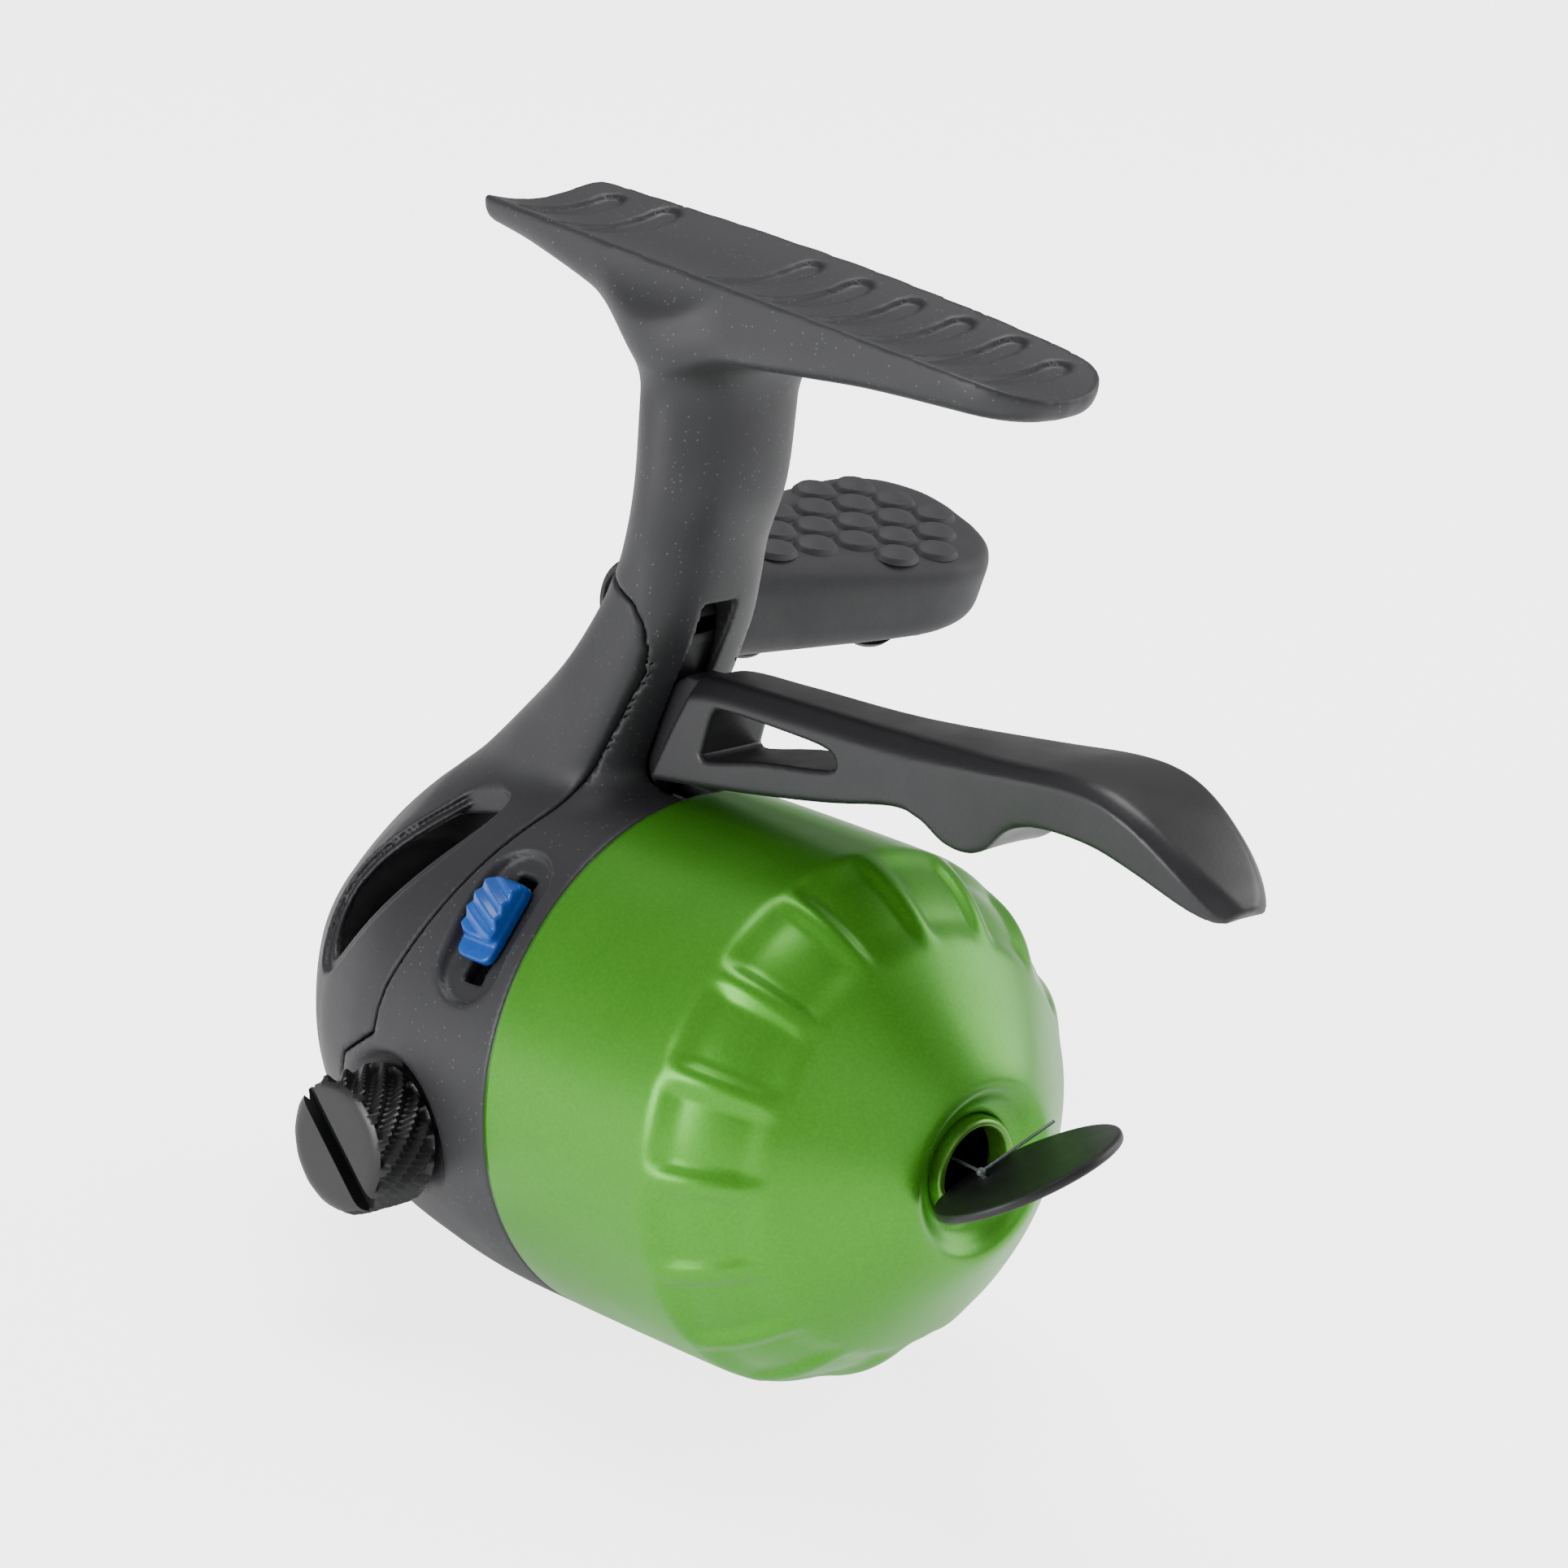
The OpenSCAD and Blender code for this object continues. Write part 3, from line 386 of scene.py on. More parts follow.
# %% [markdown]
# ## Barrel, ridge, stem and foot
# Behind the cone the casing is a body of revolution. A ridge climbs out of its top, narrows into an oval
# stem and spreads into the foot. The frame and the rear cover share this one outer form, so that their
# parting line is only a thin groove. The casing is 1.8 mm thick.

# %% The shared outer form
TAIL = flow([(-47, 3), (-42, 8.6), (-38, 12.6), (-32, 17.8), (-29, 19.9), (-26, 21.4), (-20, 23.2),
             (-14, 24.2),
             (-10, 24.7), (-6, 24.95), (0, 25), (8, 25)])
SLOPE = np.stack([TAIL[:, 0], np.gradient(TAIL[:, 1], TAIL[:, 0])], axis=1)
# height, front and rear edge, half width, and how square the front and the rear are
STEM = flow([(10, -8, -40, 8.2, 3.2, 2.1), (15.5, -7.4, -36, 8.2, 3.2, 2.1), (22.5, -6.6, -28, 8.1, 3.4, 2.1),
             (29, -4.6, -21, 7.9, 3.6, 2.1), (35, -2.2, -15, 7.75, 3.6, 2.1), (40.5, 0.2, -11, 7.6, 3.0, 2.1),
             (44.6, 1.5, -8.7, 7.5, 2.4, 2.1), (48.5, 2.4, -7.3, 7.6, 2.05, 2.05), (54, 4.1, -6.2, 8.1, 2, 2),
             (61, 4.7, -5.9, 8.3, 2, 2), (70, 5.2, -5.9, 8.4, 2, 2)])
FOOT_PLAN = flow([(-33.6, 0), (-33.5, 5.2), (-32.6, 7), (-30.5, 7.5), (-20, 8.1), (-8, 8.6), (4, 8.7),
                  (16, 8.4),
                  (26, 7.8), (30.5, 6.6), (33, 3.6), (33.6, 0)], 4)
FOOT_PLAN = np.vstack([FOOT_PLAN, (FOOT_PLAN * (1, -1))[-2:0:-1]])
UNDER = flow([(-36, -1.5), (-29, -1.9), (-24.4, -2.5), (-18, -3.7), (-12, -5.2), (-6, -6), (1, -5.8),
              (9, -4.6),
              (17, -3.4), (26, -2.6), (33, -2.3), (38, -2.3)])


def to_rod(x, z):
    c, s = math.cos(PITCH), math.sin(PITCH)
    return x * c - z * s - 1.4, x * s + z * c - 73


def tail_form(x, y, z, inset=0.0):
    r = np.sqrt(y * y + z * z)
    slope = along(x, SLOPE)
    side = (r - along(x, TAIL) + inset) / np.sqrt(1 + slope * slope)
    return trim(side, -(x + 43.4) + inset, 3.0)


def stem_form(x, y, z, inset=0.0):
    front, rear, half, nose, heel = (along(z, STEM, c) for c in range(1, 6))
    middle, deep = (front + rear) / 2, (front - rear) / 2 - inset
    power = np.where(x > middle, nose, heel)
    u, w = np.abs(x - middle) / deep, np.abs(y) / (half - inset)
    q = (np.maximum(u, 1e-6) ** power + np.maximum(w, 1e-6) ** power) ** (1 / power)
    return trim(trim((q - 1) * np.minimum(deep, half), 12 - z, 1), z - 69, 1)


def foot_form(x, y, z):
    px, pz = to_rod(x, z)
    hollow = 22 - np.sqrt(y * y + (pz - 22) ** 2)
    under = (along(px, UNDER) + 0.006 * y * y - pz) * 0.96
    plan = outline(px, y + 0 * px, FOOT_PLAN)
    side = trim(plan, under, 2.2)
    for place in (-28.6, -22.2, -3.6, 2.6, 8.8, 15.0, 21.2, 27.4):
        # shallow hollows across the saddle
        half = 5.6 if abs(place) < 26 else 4.6
        groove = np.sqrt((px - place) ** 2 + np.maximum(np.abs(y) - half, 0) ** 2) - 1.35
        hollow = trim(hollow, -trim(groove, -(hollow + 0.45), 0.2), 0.2)
    return trim(side, hollow, 0.5)


def casing(x, y, z):
    body = join(tail_form(x, y, z), stem_form(x, y, z), 3.2)
    return join(body, foot_form(x, y, z), 5.5)
print("the ridge narrows from", STEM[0, 3] * 2, "to", round(STEM[-14, 3] * 2, 1), "mm")

# %% [markdown]
# ## The frame moulding
# One moulding carries everything: foot, stem, the housing band behind the cone, both crank bearings, a
# pocket for the alert switch and a dish around the side cap. The slot down the front of the stem is where
# the trigger swings.

# %% Skin the frame
SEAM = [(-11.5, 46), (-5.4, 44.9), (-2.6, 43.4), (-1.7, 41.6), (-1.7, 39), (-2.6, 36.2), (-5.4, 30.6),
        (-8.6, 24.2),
        (-10.8, 19.2), (-13.2, 13.4), (-16.2, 6.4), (-16.7, 4), (-16.8, 2), (-22, -1.6), (-24.5, -9),
        (-25.5, -30), (-80, -30), (-80, 46)]
SLOT = [(-12.4, 33.6), (-6.6, 40.6), (-2.4, 42.6), (8, 44.6), (8, 22), (-1.6, 22), (-1.6, 18), (-12.4, 18)]


def crank_ring(x, z):
    return np.sqrt((x - CRANK_X) ** 2 + (z - CRANK_Z) ** 2)


def flank(x, y, z):
    """Along the barrel, out from the barrel's axis and up the flank, at the alert switch."""
    c, s = math.cos(math.radians(37)), math.sin(math.radians(37))
    return x + 6.2, -(y * c - z * s), y * s + z * c


def obround(u, v, length, radius):
    return np.sqrt(u * u + np.maximum(np.abs(v) - length, 0) ** 2) - radius


def frame_form(x, y, z):
    behind = outline(x + 0 * z, z + 0 * x, SEAM)
    body = trim(casing(x, y, z), -behind, 0.3)
    body = trim(body, -trim(-x, z - 28, 0.5), 0.4)
    ring = crank_ring(x, z)
    fx, fy, fz = flank(x, y, z)
    pad = np.maximum(np.maximum(np.abs(fx) - 5, np.abs(fz) - 9), 21.4 - fy)
    body = trim(body, -trim(tail_form(x, y, z, 1.8), -pad, 0.3), 0.3)
    spigot = np.maximum(np.abs(np.sqrt(y * y + z * z) - 22.85) - 0.9, np.abs(x - 1.5) - 2.5)
    body = np.minimum(body, spigot)
    boss = np.maximum(ring - 5.9, np.abs(np.abs(y) - 20.3) - 2.9)
    left_boss = trim(ring - 6.9, np.abs(y - 22) - 2.1, 0.5)
    body = join(np.minimum(body, boss), left_boss, 0.6)
    body = np.maximum(body, 4.3 - ring)
    slot = np.maximum(outline(x + 0 * z, z + 0 * x, SLOT), np.abs(y) - 2)
    body = trim(body, -slot, 0.25)
    dish = trim(ring - 7.2 + 0.5 * (y + 22.8), y + 22.8, 0.5)
    body = trim(body, -dish, 0.7)
    pocket = trim(obround(fx, fz, 4, 3.5) - 0.3 * (fy - 23), 23 - fy, 0.4)
    window = np.maximum(np.maximum(np.abs(fx) - 1.2, np.abs(fz) - 5.4), 17 - fy)
    body = trim(body, -pocket, 0.6)
    return np.maximum(body, -window)


STEP = 0.42
frame_skin = skin("frame_moulding", frame_form, (-36.5, -25.6, -25.8), (42.5, 25.6, 80), STEP)
settle(frame_skin, housing_finish, "frame", "body_frame")

# %% [markdown]
# ## The rear cover
# The cover closes the housing from behind and carries the ridge's back. Slanted windows in both flanks
# drain water and save weight, and a slim one sits behind each. The slanted ones have a stepped ledge.

# %% Skin the rear cover
WINDOW = flow([(-16.2, 21.4), (-17, 18.8), (-22.5, 11.6), (-27.6, 5.2), (-30.2, 6.2), (-30.2, 10.4),
               (-24.6, 16.8),
               (-19.4, 21.2), (-16.2, 21.4)], 4)[:-1]
SLIM = [(-39.2, 6), (-37.4, 5.4), (-35, -8), (-36.6, -8.8)]


def cover_form(x, y, z):
    u, v = x + 0 * z, z + 0 * x
    body = casing(x, y, z)
    skin_depth = body
    body = trim(body, outline(u, v, SEAM) + 0.2, 0.3)
    inner = join(tail_form(x, y, z, 1.8), trim(stem_form(x, y, z, 1.9), z - 41, 0.5), 2)
    body = trim(body, -inner, 0.3)
    ring = crank_ring(x, z)
    body = trim(body, -np.maximum(ring - 7.7, 14 - np.abs(y)), 0.4)
    edge = outline(u, v, WINDOW)
    ledge = trim(edge - 1.0, -(skin_depth + 0.7), 0.3)
    body = trim(body, -np.maximum(ledge, 9 - np.abs(y)), 0.4)
    body = trim(body, -np.maximum(edge, 9 - np.abs(y)), 0.3)
    body = trim(body, -np.maximum(outline(u, v, SLIM), 4 - np.abs(y)), 0.6)
    for py, pz in ((17.6, 9), (16.4, -13.4)):
        r = np.sqrt((y - py) ** 2 + (z - pz) ** 2)
        body = np.maximum(body, -np.maximum(r - 1.25, x + 10))
        body = trim(body, -np.maximum(r - 2.3, x + 25), 0.2)
    return body


cover_skin = skin("rear_cover_moulding", cover_form, (-45, -25.6, -25.8), (0.5, 25.6, 47), STEP * 0.84)
settle(cover_skin, cover_finish, "frame", "rear_cover")

# %% [markdown]
# ## Trigger
# The trigger is a lever moulded in one piece: a thin neck in the stem's slot, an open triangular web that
# keeps it stiff and light, and a crowned paddle that bends down at its tip to hold the finger. A bevel
# runs along each upper edge.

# %% Skin the trigger
CROWN = flow([(-3, 28), (0.6, 35.2), (2.6, 37), (10.7, 37.5), (24.5, 38.0), (38.7, 39.2), (47, 40.1),
              (52, 40.0),
              (56, 38.7), (60, 36.2), (63.4, 33.4), (64.8, 31.6)])
BELLY = flow([(64.3, 30.8), (62.6, 31), (56, 33.4), (51, 34.6), (45.4, 34.6), (41.4, 33.3), (38.6, 30.8),
              (36.4, 29.9), (33.8, 30.2), (31, 31.6), (27.6, 31.8), (18.9, 29.8), (7.8, 27.9), (-3, 26.4)])
SIDE = np.vstack([CROWN, BELLY])
BROAD = flow([(-8, 4), (14, 4), (24, 4.2), (32, 4.9), (40, 5.9), (47, 6.4), (54, 6.3), (59, 5.6), (62, 4.7),
              (64, 3.4), (65.2, 1.8)])
WEB = flow([(3.4, 30.2), (4.6, 34.2), (6.4, 34.9), (12, 34.9), (18.4, 34.7), (20.2, 34), (19.4, 32.8),
            (11, 31.4), (4.6, 29.9), (3.4, 30.2)], 3)[:-1]
NECK = [(-9.4, 30), (-7, 32.4), (-1, 36.2), (3.4, 36.4), (3.6, 34), (2.4, 29.8), (2, 27.2), (-4, 26.2),
        (-6.1, 22),
        (-6.3, 18.5), (-8.7, 18.5), (-9.4, 26)]


def trigger_form(x, y, z):
    u, v = x + 0 * z, z + 0 * x
    top = along(x, CROWN)
    broad = along(x, BROAD)
    taper = np.clip((x - 30) / 12, 0, 1) * np.maximum(top - z, 0) * 0.22
    body = trim(outline(x + 0 * v, z + 0.010 * y * y, SIDE), np.abs(y) - broad + taper, 0.7)
    bevel = (np.abs(y) - broad + z - top) * 0.7071 + 1.15
    body = trim(body, bevel, 0.35)
    body = trim(body, -outline(u, v, WEB), 0.5)
    neck = trim(outline(u, v, NECK), np.abs(y) - 1.75, 0.2)
    pin = np.sqrt((x + 7) ** 2 + (z - 29.5) ** 2)
    hub = np.maximum(pin - 2.6, np.abs(y) - 1.75)
    return np.maximum(join(np.minimum(neck, hub), body, 0.4), 1.31 - pin)


trigger_skin = skin("trigger_moulding", trigger_form, (-10.2, -7.4, 17.8), (66.4, 7.4, 42), STEP * 0.72)
settle(trigger_skin, trigger_finish, "trigger", "trigger_lever")

# %% [markdown]
# ## Crank arm
# A short flat arm joins the crank shaft to the knob. Its ends are round bosses, and the one under the
# knob is dished to lighten it.

# %% Skin the crank arm
def local(place, x, y, z):
    m = np.array(place.inverted())
    return [m[i, 0] * x + m[i, 1] * y + m[i, 2] * z + m[i, 3] for i in range(3)]


def arm_form(x, y, z):
    u, n, v = local(KNOB, x, y, z)
    slab = np.abs(n - ARM_T / 2) - ARM_T / 2
    r = np.sqrt(u * u + v * v)
    half = 3.7 + 1.3 * np.clip(-v / CRANK_R, 0, 1)
    blade = trim(np.abs(u) - half, np.abs(v + CRANK_R / 2) - CRANK_R / 2, 0.5)
    arm = trim(join(blade, r - 5.0, 2.0), slab, 0.7)
    hub = trim(crank_ring(x, z) - 6.6, np.abs(y - ARM_Y - 2.2) - 2.2, 0.8)
    arm = join(arm, hub, 1.2)
    dish = trim(r - 4.2, np.abs(n) - 0.45, 0.3)
    arm = trim(arm, -dish, 0.25)
    arm = np.maximum(arm, -np.maximum(crank_ring(x, z) - 3.02, y - ARM_Y - 1.65))
    return np.maximum(np.maximum(arm, 1.5 - crank_ring(x, z)), 1.6 - r)


arm_skin = skin("crank_arm_moulding", arm_form, (-46.5, 25.6, -14.6), (-6.4, 32, 36), STEP * 0.84)
settle(arm_skin, cap_finish, "crank", "crank_arm")

# %% [markdown]
# ## Knob
# The knob is a paddle: round where it meets the arm, then wide and flat, so that finger and thumb find
# its two broad faces. It is soft rubber moulded over a hard core.

# %% Skin the knob
# the knob thins evenly from its root to where its paddle is widest, by 1 mm on top and 3 mm below
ROOT_Z, PADDLE_Z = 3.5, 35.0
ROOT_MIDDLE, ROOT_HALF, LEAN, THINNING = -1.0, 6.2, 1.0, 2.0
PLAN = flow([(5.9, ROOT_Z), (6.6, 10), (8.2, 20), (9.6, 29), (10, 35), (8.9, 40), (5.9, 43.6),
             (2.6, 44.9), (0, 45)])
PLAN = np.vstack([PLAN, (PLAN * (-1, 1))[::-1][1:]])


def face_share(z):
    return np.clip((z - ROOT_Z) / (PADDLE_Z - ROOT_Z), -0.2, 1.4)


def grip_form(x, y, z):
    share = face_share(z)
    middle, half = ROOT_MIDDLE - LEAN * share, ROOT_HALF - THINNING * share
    rounding = 4.5 - 2.2 * np.clip(share, 0, 1)
    body = trim(outline(x + 0 * z, z + 0 * x, PLAN), np.abs(y - middle) - half, rounding)
    return np.maximum(body, -np.maximum(np.sqrt(x * x + y * y) - 3.63, z - 36.8))


grip_skin = skin("knob_rubber", grip_form, (-11, -8.6, 2.8), (11, 6.4, 46), STEP * 0.8, BARREL @ GRIP)
settle(grip_skin, rubber_finish, "knob", "knob_grip")

# %% [markdown]
# ## One lathe for the pressed and fluted parts
# The cone is spun over a former and then pressed with a row of shallow pads round its shoulder. The side
# cap is a short cylinder with slanted flutes. Both follow one rule: turn a profile, and sink it where a
# pattern that repeats round the axis says so. Geometry Nodes can hold that rule with its sizes as inputs:
# a flat grid is rolled up, each column reads the profile, and the radius is lowered inside each pad.

# %% Build the lathe tree
def new_tree(name, sockets):
    tree = bpy.data.node_groups.new(name, "GeometryNodeTree")
    for label, kind in [("Geometry", "NodeSocketGeometry")] + sockets:
        tree.interface.new_socket(label, in_out="INPUT", socket_type=kind)
    tree.interface.new_socket("Geometry", in_out="OUTPUT", socket_type="NodeSocketGeometry")
    return tree, put(tree, "NodeGroupInput").outputs


def maths(tree, operation, *values):
    return put(tree, "ShaderNodeMath", dict(enumerate(values)), operation=operation).outputs[0]


def ramp(tree, value, start, end, first, last):
    span = {"Value": value, "From Min": start, "From Max": end, "To Min": first, "To Max": last}
    return put(tree, "ShaderNodeMapRange", span, interpolation_type="SMOOTHSTEP").outputs[0]


lathe, given = new_tree("pressed_lathe", [
    ("Around", "NodeSocketInt"), ("Along", "NodeSocketInt"), ("Count", "NodeSocketFloat"),
    ("Depth", "NodeSocketFloat"), ("Start", "NodeSocketFloat"), ("End", "NodeSocketFloat"),
    ("Edge", "NodeSocketFloat"), ("Land", "NodeSocketFloat"), ("Soft", "NodeSocketFloat"),
    ("Twist", "NodeSocketFloat"), ("Material", "NodeSocketMaterial")])
grid = put(lathe, "GeometryNodeMeshGrid", {"Vertices X": given["Around"], "Vertices Y": given["Along"]})
uv = put(lathe, "ShaderNodeSeparateXYZ", {0: grid.outputs["UV Map"]}).outputs
curve = put(lathe, "GeometryNodeMeshToCurve", {"Mesh": given["Geometry"]})
read = put(lathe, "GeometryNodeSampleCurve", {"Curves": curve.outputs[0], "Factor": uv[1]}, mode="FACTOR")
spot = put(lathe, "ShaderNodeSeparateXYZ", {0: read.outputs["Position"]}).outputs
turns = maths(lathe, "MULTIPLY_ADD", spot[0], given["Twist"], maths(lathe, "MULTIPLY", uv[0], given["Count"]))
rib = maths(lathe, "ABSOLUTE", maths(lathe, "MULTIPLY_ADD", maths(lathe, "FRACT", turns), 2.0, -1.0))
shore = maths(lathe, "SUBTRACT", 1.0, given["Land"])
sunk = ramp(lathe, rib, maths(lathe, "SUBTRACT", shore, given["Soft"]), shore, 1.0, 0.0)
into = ramp(lathe, spot[0], given["Start"], maths(lathe, "ADD", given["Start"], given["Edge"]), 0.0, 1.0)
outof = ramp(lathe, spot[0], maths(lathe, "SUBTRACT", given["End"], given["Edge"]), given["End"], 1.0, 0.0)
band = maths(lathe, "MULTIPLY", into, outof)
drop = maths(lathe, "MULTIPLY", maths(lathe, "MULTIPLY", sunk, given["Depth"]), band)
radius = maths(lathe, "MAXIMUM", maths(lathe, "SUBTRACT", spot[1], drop), 0.0)
angle = maths(lathe, "MULTIPLY", uv[0], 2 * math.pi)
rolled = put(lathe, "ShaderNodeCombineXYZ", {
    0: spot[0], 1: maths(lathe, "MULTIPLY", radius, maths(lathe, "COSINE", angle)),
    2: maths(lathe, "MULTIPLY", radius, maths(lathe, "SINE", angle))})
moved = put(lathe, "GeometryNodeSetPosition", {"Geometry": grid.outputs["Mesh"],
                                               "Position": rolled.outputs[0]})
joined = put(lathe, "GeometryNodeMergeByDistance", {"Geometry": moved.outputs[0], "Distance": 0.002})
real = put(lathe, "GeometryNodeRealizeInstances", {"Geometry": joined.outputs[0]})
painted = put(lathe, "GeometryNodeSetMaterial", {"Geometry": real.outputs[0], "Material": given["Material"]})
put(lathe, "NodeGroupOutput", {"Geometry": painted.outputs[0]})
print("lathe tree has", len(lathe.nodes), "nodes")

# %% Run a tree and keep the plain mesh
def grow(name, tree, points, edges, sizes, place):
    mesh = bpy.data.meshes.new(name)
    mesh.from_pydata([tuple(p) for p in points], edges, [])
    piece = bpy.data.objects.new(name, mesh)
    bpy.context.collection.objects.link(piece)
    modifier = piece.modifiers.new("made", "NODES")
    modifier.node_group = tree
    names = {item.name: item.identifier for item in tree.interface.items_tree if item.in_out == "INPUT"}
    for label, value in sizes.items():
        modifier[names[label]] = value
    bpy.context.view_layer.update()
    made = bpy.data.meshes.new_from_object(piece.evaluated_get(bpy.context.evaluated_depsgraph_get()))
    piece.modifiers.clear()
    piece.data = made
    made.transform(place)
    shell = bmesh.new()
    shell.from_mesh(made)
    bmesh.ops.remove_doubles(shell, verts=shell.verts, dist=1e-7)
    if shell.calc_volume(signed=True) < 0:
        bmesh.ops.reverse_faces(shell, faces=shell.faces)
    shell.to_mesh(made)
    shell.free()
    made.shade_smooth()
    print(name, "has", len(made.polygons), "faces")
    return piece


def turned(name, profile, material, place=BARREL, around=128, count=0.0, depth=0.0, start=0.0, end=1.0,
           edge=0.1, land=0.1, soft=0.3, twist=0.0):
    closed = np.asarray(profile, float)
    n = len(closed)
    length = np.sqrt((np.diff(closed, axis=0) ** 2).sum(axis=1)).sum()
    steps = int(length / (0.45 if n > 60 else 0.3))
    return grow(name, lathe, [(a, b, 0) for a, b in closed], [(i, i + 1) for i in range(n - 1)], {
        "Around": around + 1, "Along": max(steps, 24), "Count": count, "Depth": depth, "Start": start,
        "End": end, "Edge": edge, "Land": land, "Soft": soft, "Twist": twist, "Material": material}, place)

# %% [markdown]
# ## Cone and nose
# Outside and inside walls are one closed profile, 1 mm apart. The pads sink both walls, as a press does.

# %% Turn the cone
CONE_OUT = flow([(0.25, 24.85), (0.7, 25), (10, 25), (19.4, 24.9), (21, 24.7), (23, 24.0), (25, 22.95),
                 (27, 21.5),
                 (29, 19.6), (31, 17.3), (33, 14.8), (35, 12.2), (36.4, 10.2), (37.1, 9.0), (37.4, 8.1),
                 (37.1, 7.3), (36.3, 6.4), (35.9, 5.7), (35.8, 5.0)])
CONE_IN = flow([(34.9, 4.9), (34.9, 6), (35.3, 7.4), (35.5, 8.6), (34, 11.2), (32, 13.8), (30, 16.2),
                (28, 18.7),
                (26, 20.7), (24, 22.2), (22, 23.2), (20, 23.8), (10, 23.95), (0.2, 24)])
cone = turned("spun_cone", np.vstack([CONE_OUT, CONE_IN, CONE_OUT[:1]]), cone_finish, around=320, count=16.0,
              depth=0.8, start=19.8, end=30.2, edge=3.0, land=0.05, soft=0.36)
settle(cone, None, "frame", "front_cone")
bead = flow([(34.3, 4.9), (35.8, 4.9), (36.6, 4.8), (36.95, 4.4), (36.6, 4.0), (35.6, 3.85), (34.3, 3.9)])
ring = turned("nose_bead", np.vstack([bead, bead[:1]]), nose_finish, around=96)
settle(ring, None, "frame", "nose_ring")

# %% [markdown]
# ## Side cap
# The cap screws down on the right end of the crank shaft. Slanted flutes give the fingers a hold, and a
# coin fits its slot.

# %% Turn the cap and cut its slot
CAP = (BARREL @ Matrix.Translation((CRANK_X, 0, CRANK_Z)) @ Matrix.Rotation(math.radians(-90), 4, "Z"))
cap_profile = flow([(23.62, 0), (23.62, 3), (23.62, 6.2), (23.9, 6.55), (25, 6.6), (28.6, 6.55),
                    (29.3, 6.3), (29.75, 5.9), (29.95, 5.3), (30, 4.4), (30, 2), (30, 0)])
cap = turned("fluted_cap", cap_profile, cap_finish, CAP, around=288, count=15.0, depth=0.95, start=23.7,
             end=29.7, edge=0.5, land=0.16, soft=0.62, twist=0.42)
blade = bpy.data.objects.new("slot_cutter", bpy.data.meshes.new("slot_cutter"))
knife = bmesh.new()
bmesh.ops.create_cube(knife, size=1.0, matrix=CAP @ Matrix.Rotation(math.radians(-45), 4, "X")
                      @ Matrix.Translation((30, 0, 0)) @ Matrix.Diagonal((2.6, 20, 2.0, 1)))
knife.to_mesh(blade.data)
knife.free()
blade.data.materials.append(cap_finish)
bpy.context.collection.objects.link(blade)
cut_slot = cap.modifiers.new("slot", "BOOLEAN")
cut_slot.operation, cut_slot.object, cut_slot.solver = "DIFFERENCE", blade, "EXACT"
bpy.context.view_layer.update()
cap.data = bpy.data.meshes.new_from_object(cap.evaluated_get(bpy.context.evaluated_depsgraph_get()))
cap.modifiers.clear()
bpy.data.objects.remove(blade)
cap.data.set_sharp_from_angle(angle=math.radians(38))
settle(cap, None, "crank", "side_cap")

# %% [markdown]
# ## Scales on the knob
# Both broad faces carry rows of low oval pads, set like scales, each row half a step along from the last.
# Geometry Nodes put one pad on each point of a staggered sheet. The sheet is then sheared on to each
# face, because the knob thins evenly towards its end.

# %% Build the pad tree
pads, given = new_tree("scale_pads", [("Long", "NodeSocketFloat"), ("Wide", "NodeSocketFloat"),
                                      ("Rise", "NodeSocketFloat"), ("Material", "NodeSocketMaterial")])
pad = put(pads, "GeometryNodeMeshCone", {"Vertices": 26, "Side Segments": 3, "Radius Top": 0.8,
                                         "Radius Bottom": 1.0, "Depth": 1.0})
top = put(pads, "ShaderNodeSeparateXYZ", {0: put(pads, "GeometryNodeInputPosition").outputs[0]}).outputs
size = put(pads, "ShaderNodeCombineXYZ", {0: given["Wide"], 1: given["Long"], 2: given["Rise"]})
sized = put(pads, "GeometryNodeTransform", {"Geometry": pad.outputs["Mesh"], "Scale": size.outputs[0]})
spread = put(pads, "GeometryNodeInstanceOnPoints", {"Points": given["Geometry"],
                                                    "Instance": sized.outputs[0]})
real = put(pads, "GeometryNodeRealizeInstances", {"Geometry": spread.outputs[0]})
painted = put(pads, "GeometryNodeSetMaterial", {"Geometry": real.outputs[0], "Material": given["Material"]})
put(pads, "NodeGroupOutput", {"Geometry": painted.outputs[0]})

# %% Set the pads on both faces
ROW, STEP_ALONG = 3.3, 5.75
points = []
for row in range(-3, 4):
    for k in range(0, 8):
        across, down = row * ROW, 5.6 + k * STEP_ALONG + (row % 2) * STEP_ALONG / 2
        room = float(outline(np.array([across]), np.array([down]), PLAN)[0])
        if room < -2.1 and down < 42.6:
            points.append((across, down, 0))
slope = 1 / (PADDLE_Z - ROOT_Z)
for name, side in (("scales_upper", -1), ("scales_lower", 1)):
    # across, along and out of the sheet become x, z and plus or minus y of the knob
    root = ROOT_MIDDLE + LEAN * slope * ROOT_Z + side * (ROOT_HALF + THINNING * slope * ROOT_Z)
    fall = -LEAN * slope - side * THINNING * slope
    sheet = Matrix(((-side, 0, 0, 0), (0, fall, side, root), (0, 1, 0, 0), (0, 0, 0, 1)))
    scales = grow(name, pads, points, [], {"Long": 2.8, "Wide": 1.9, "Rise": 0.55, "Material": rubber_finish},
                  BARREL @ GRIP @ sheet)
    scales.data.set_sharp_from_angle(angle=math.radians(50))
    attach(scales, "knob")
print(len(points), "pads on each face")

# %% [markdown]
# ## Alert switch and disc
# The blue switch slides in its pocket and has five slanted ribs for the thumb. A thin black disc is tied to
# the end of the line, so that the end can't slip back into the cone.

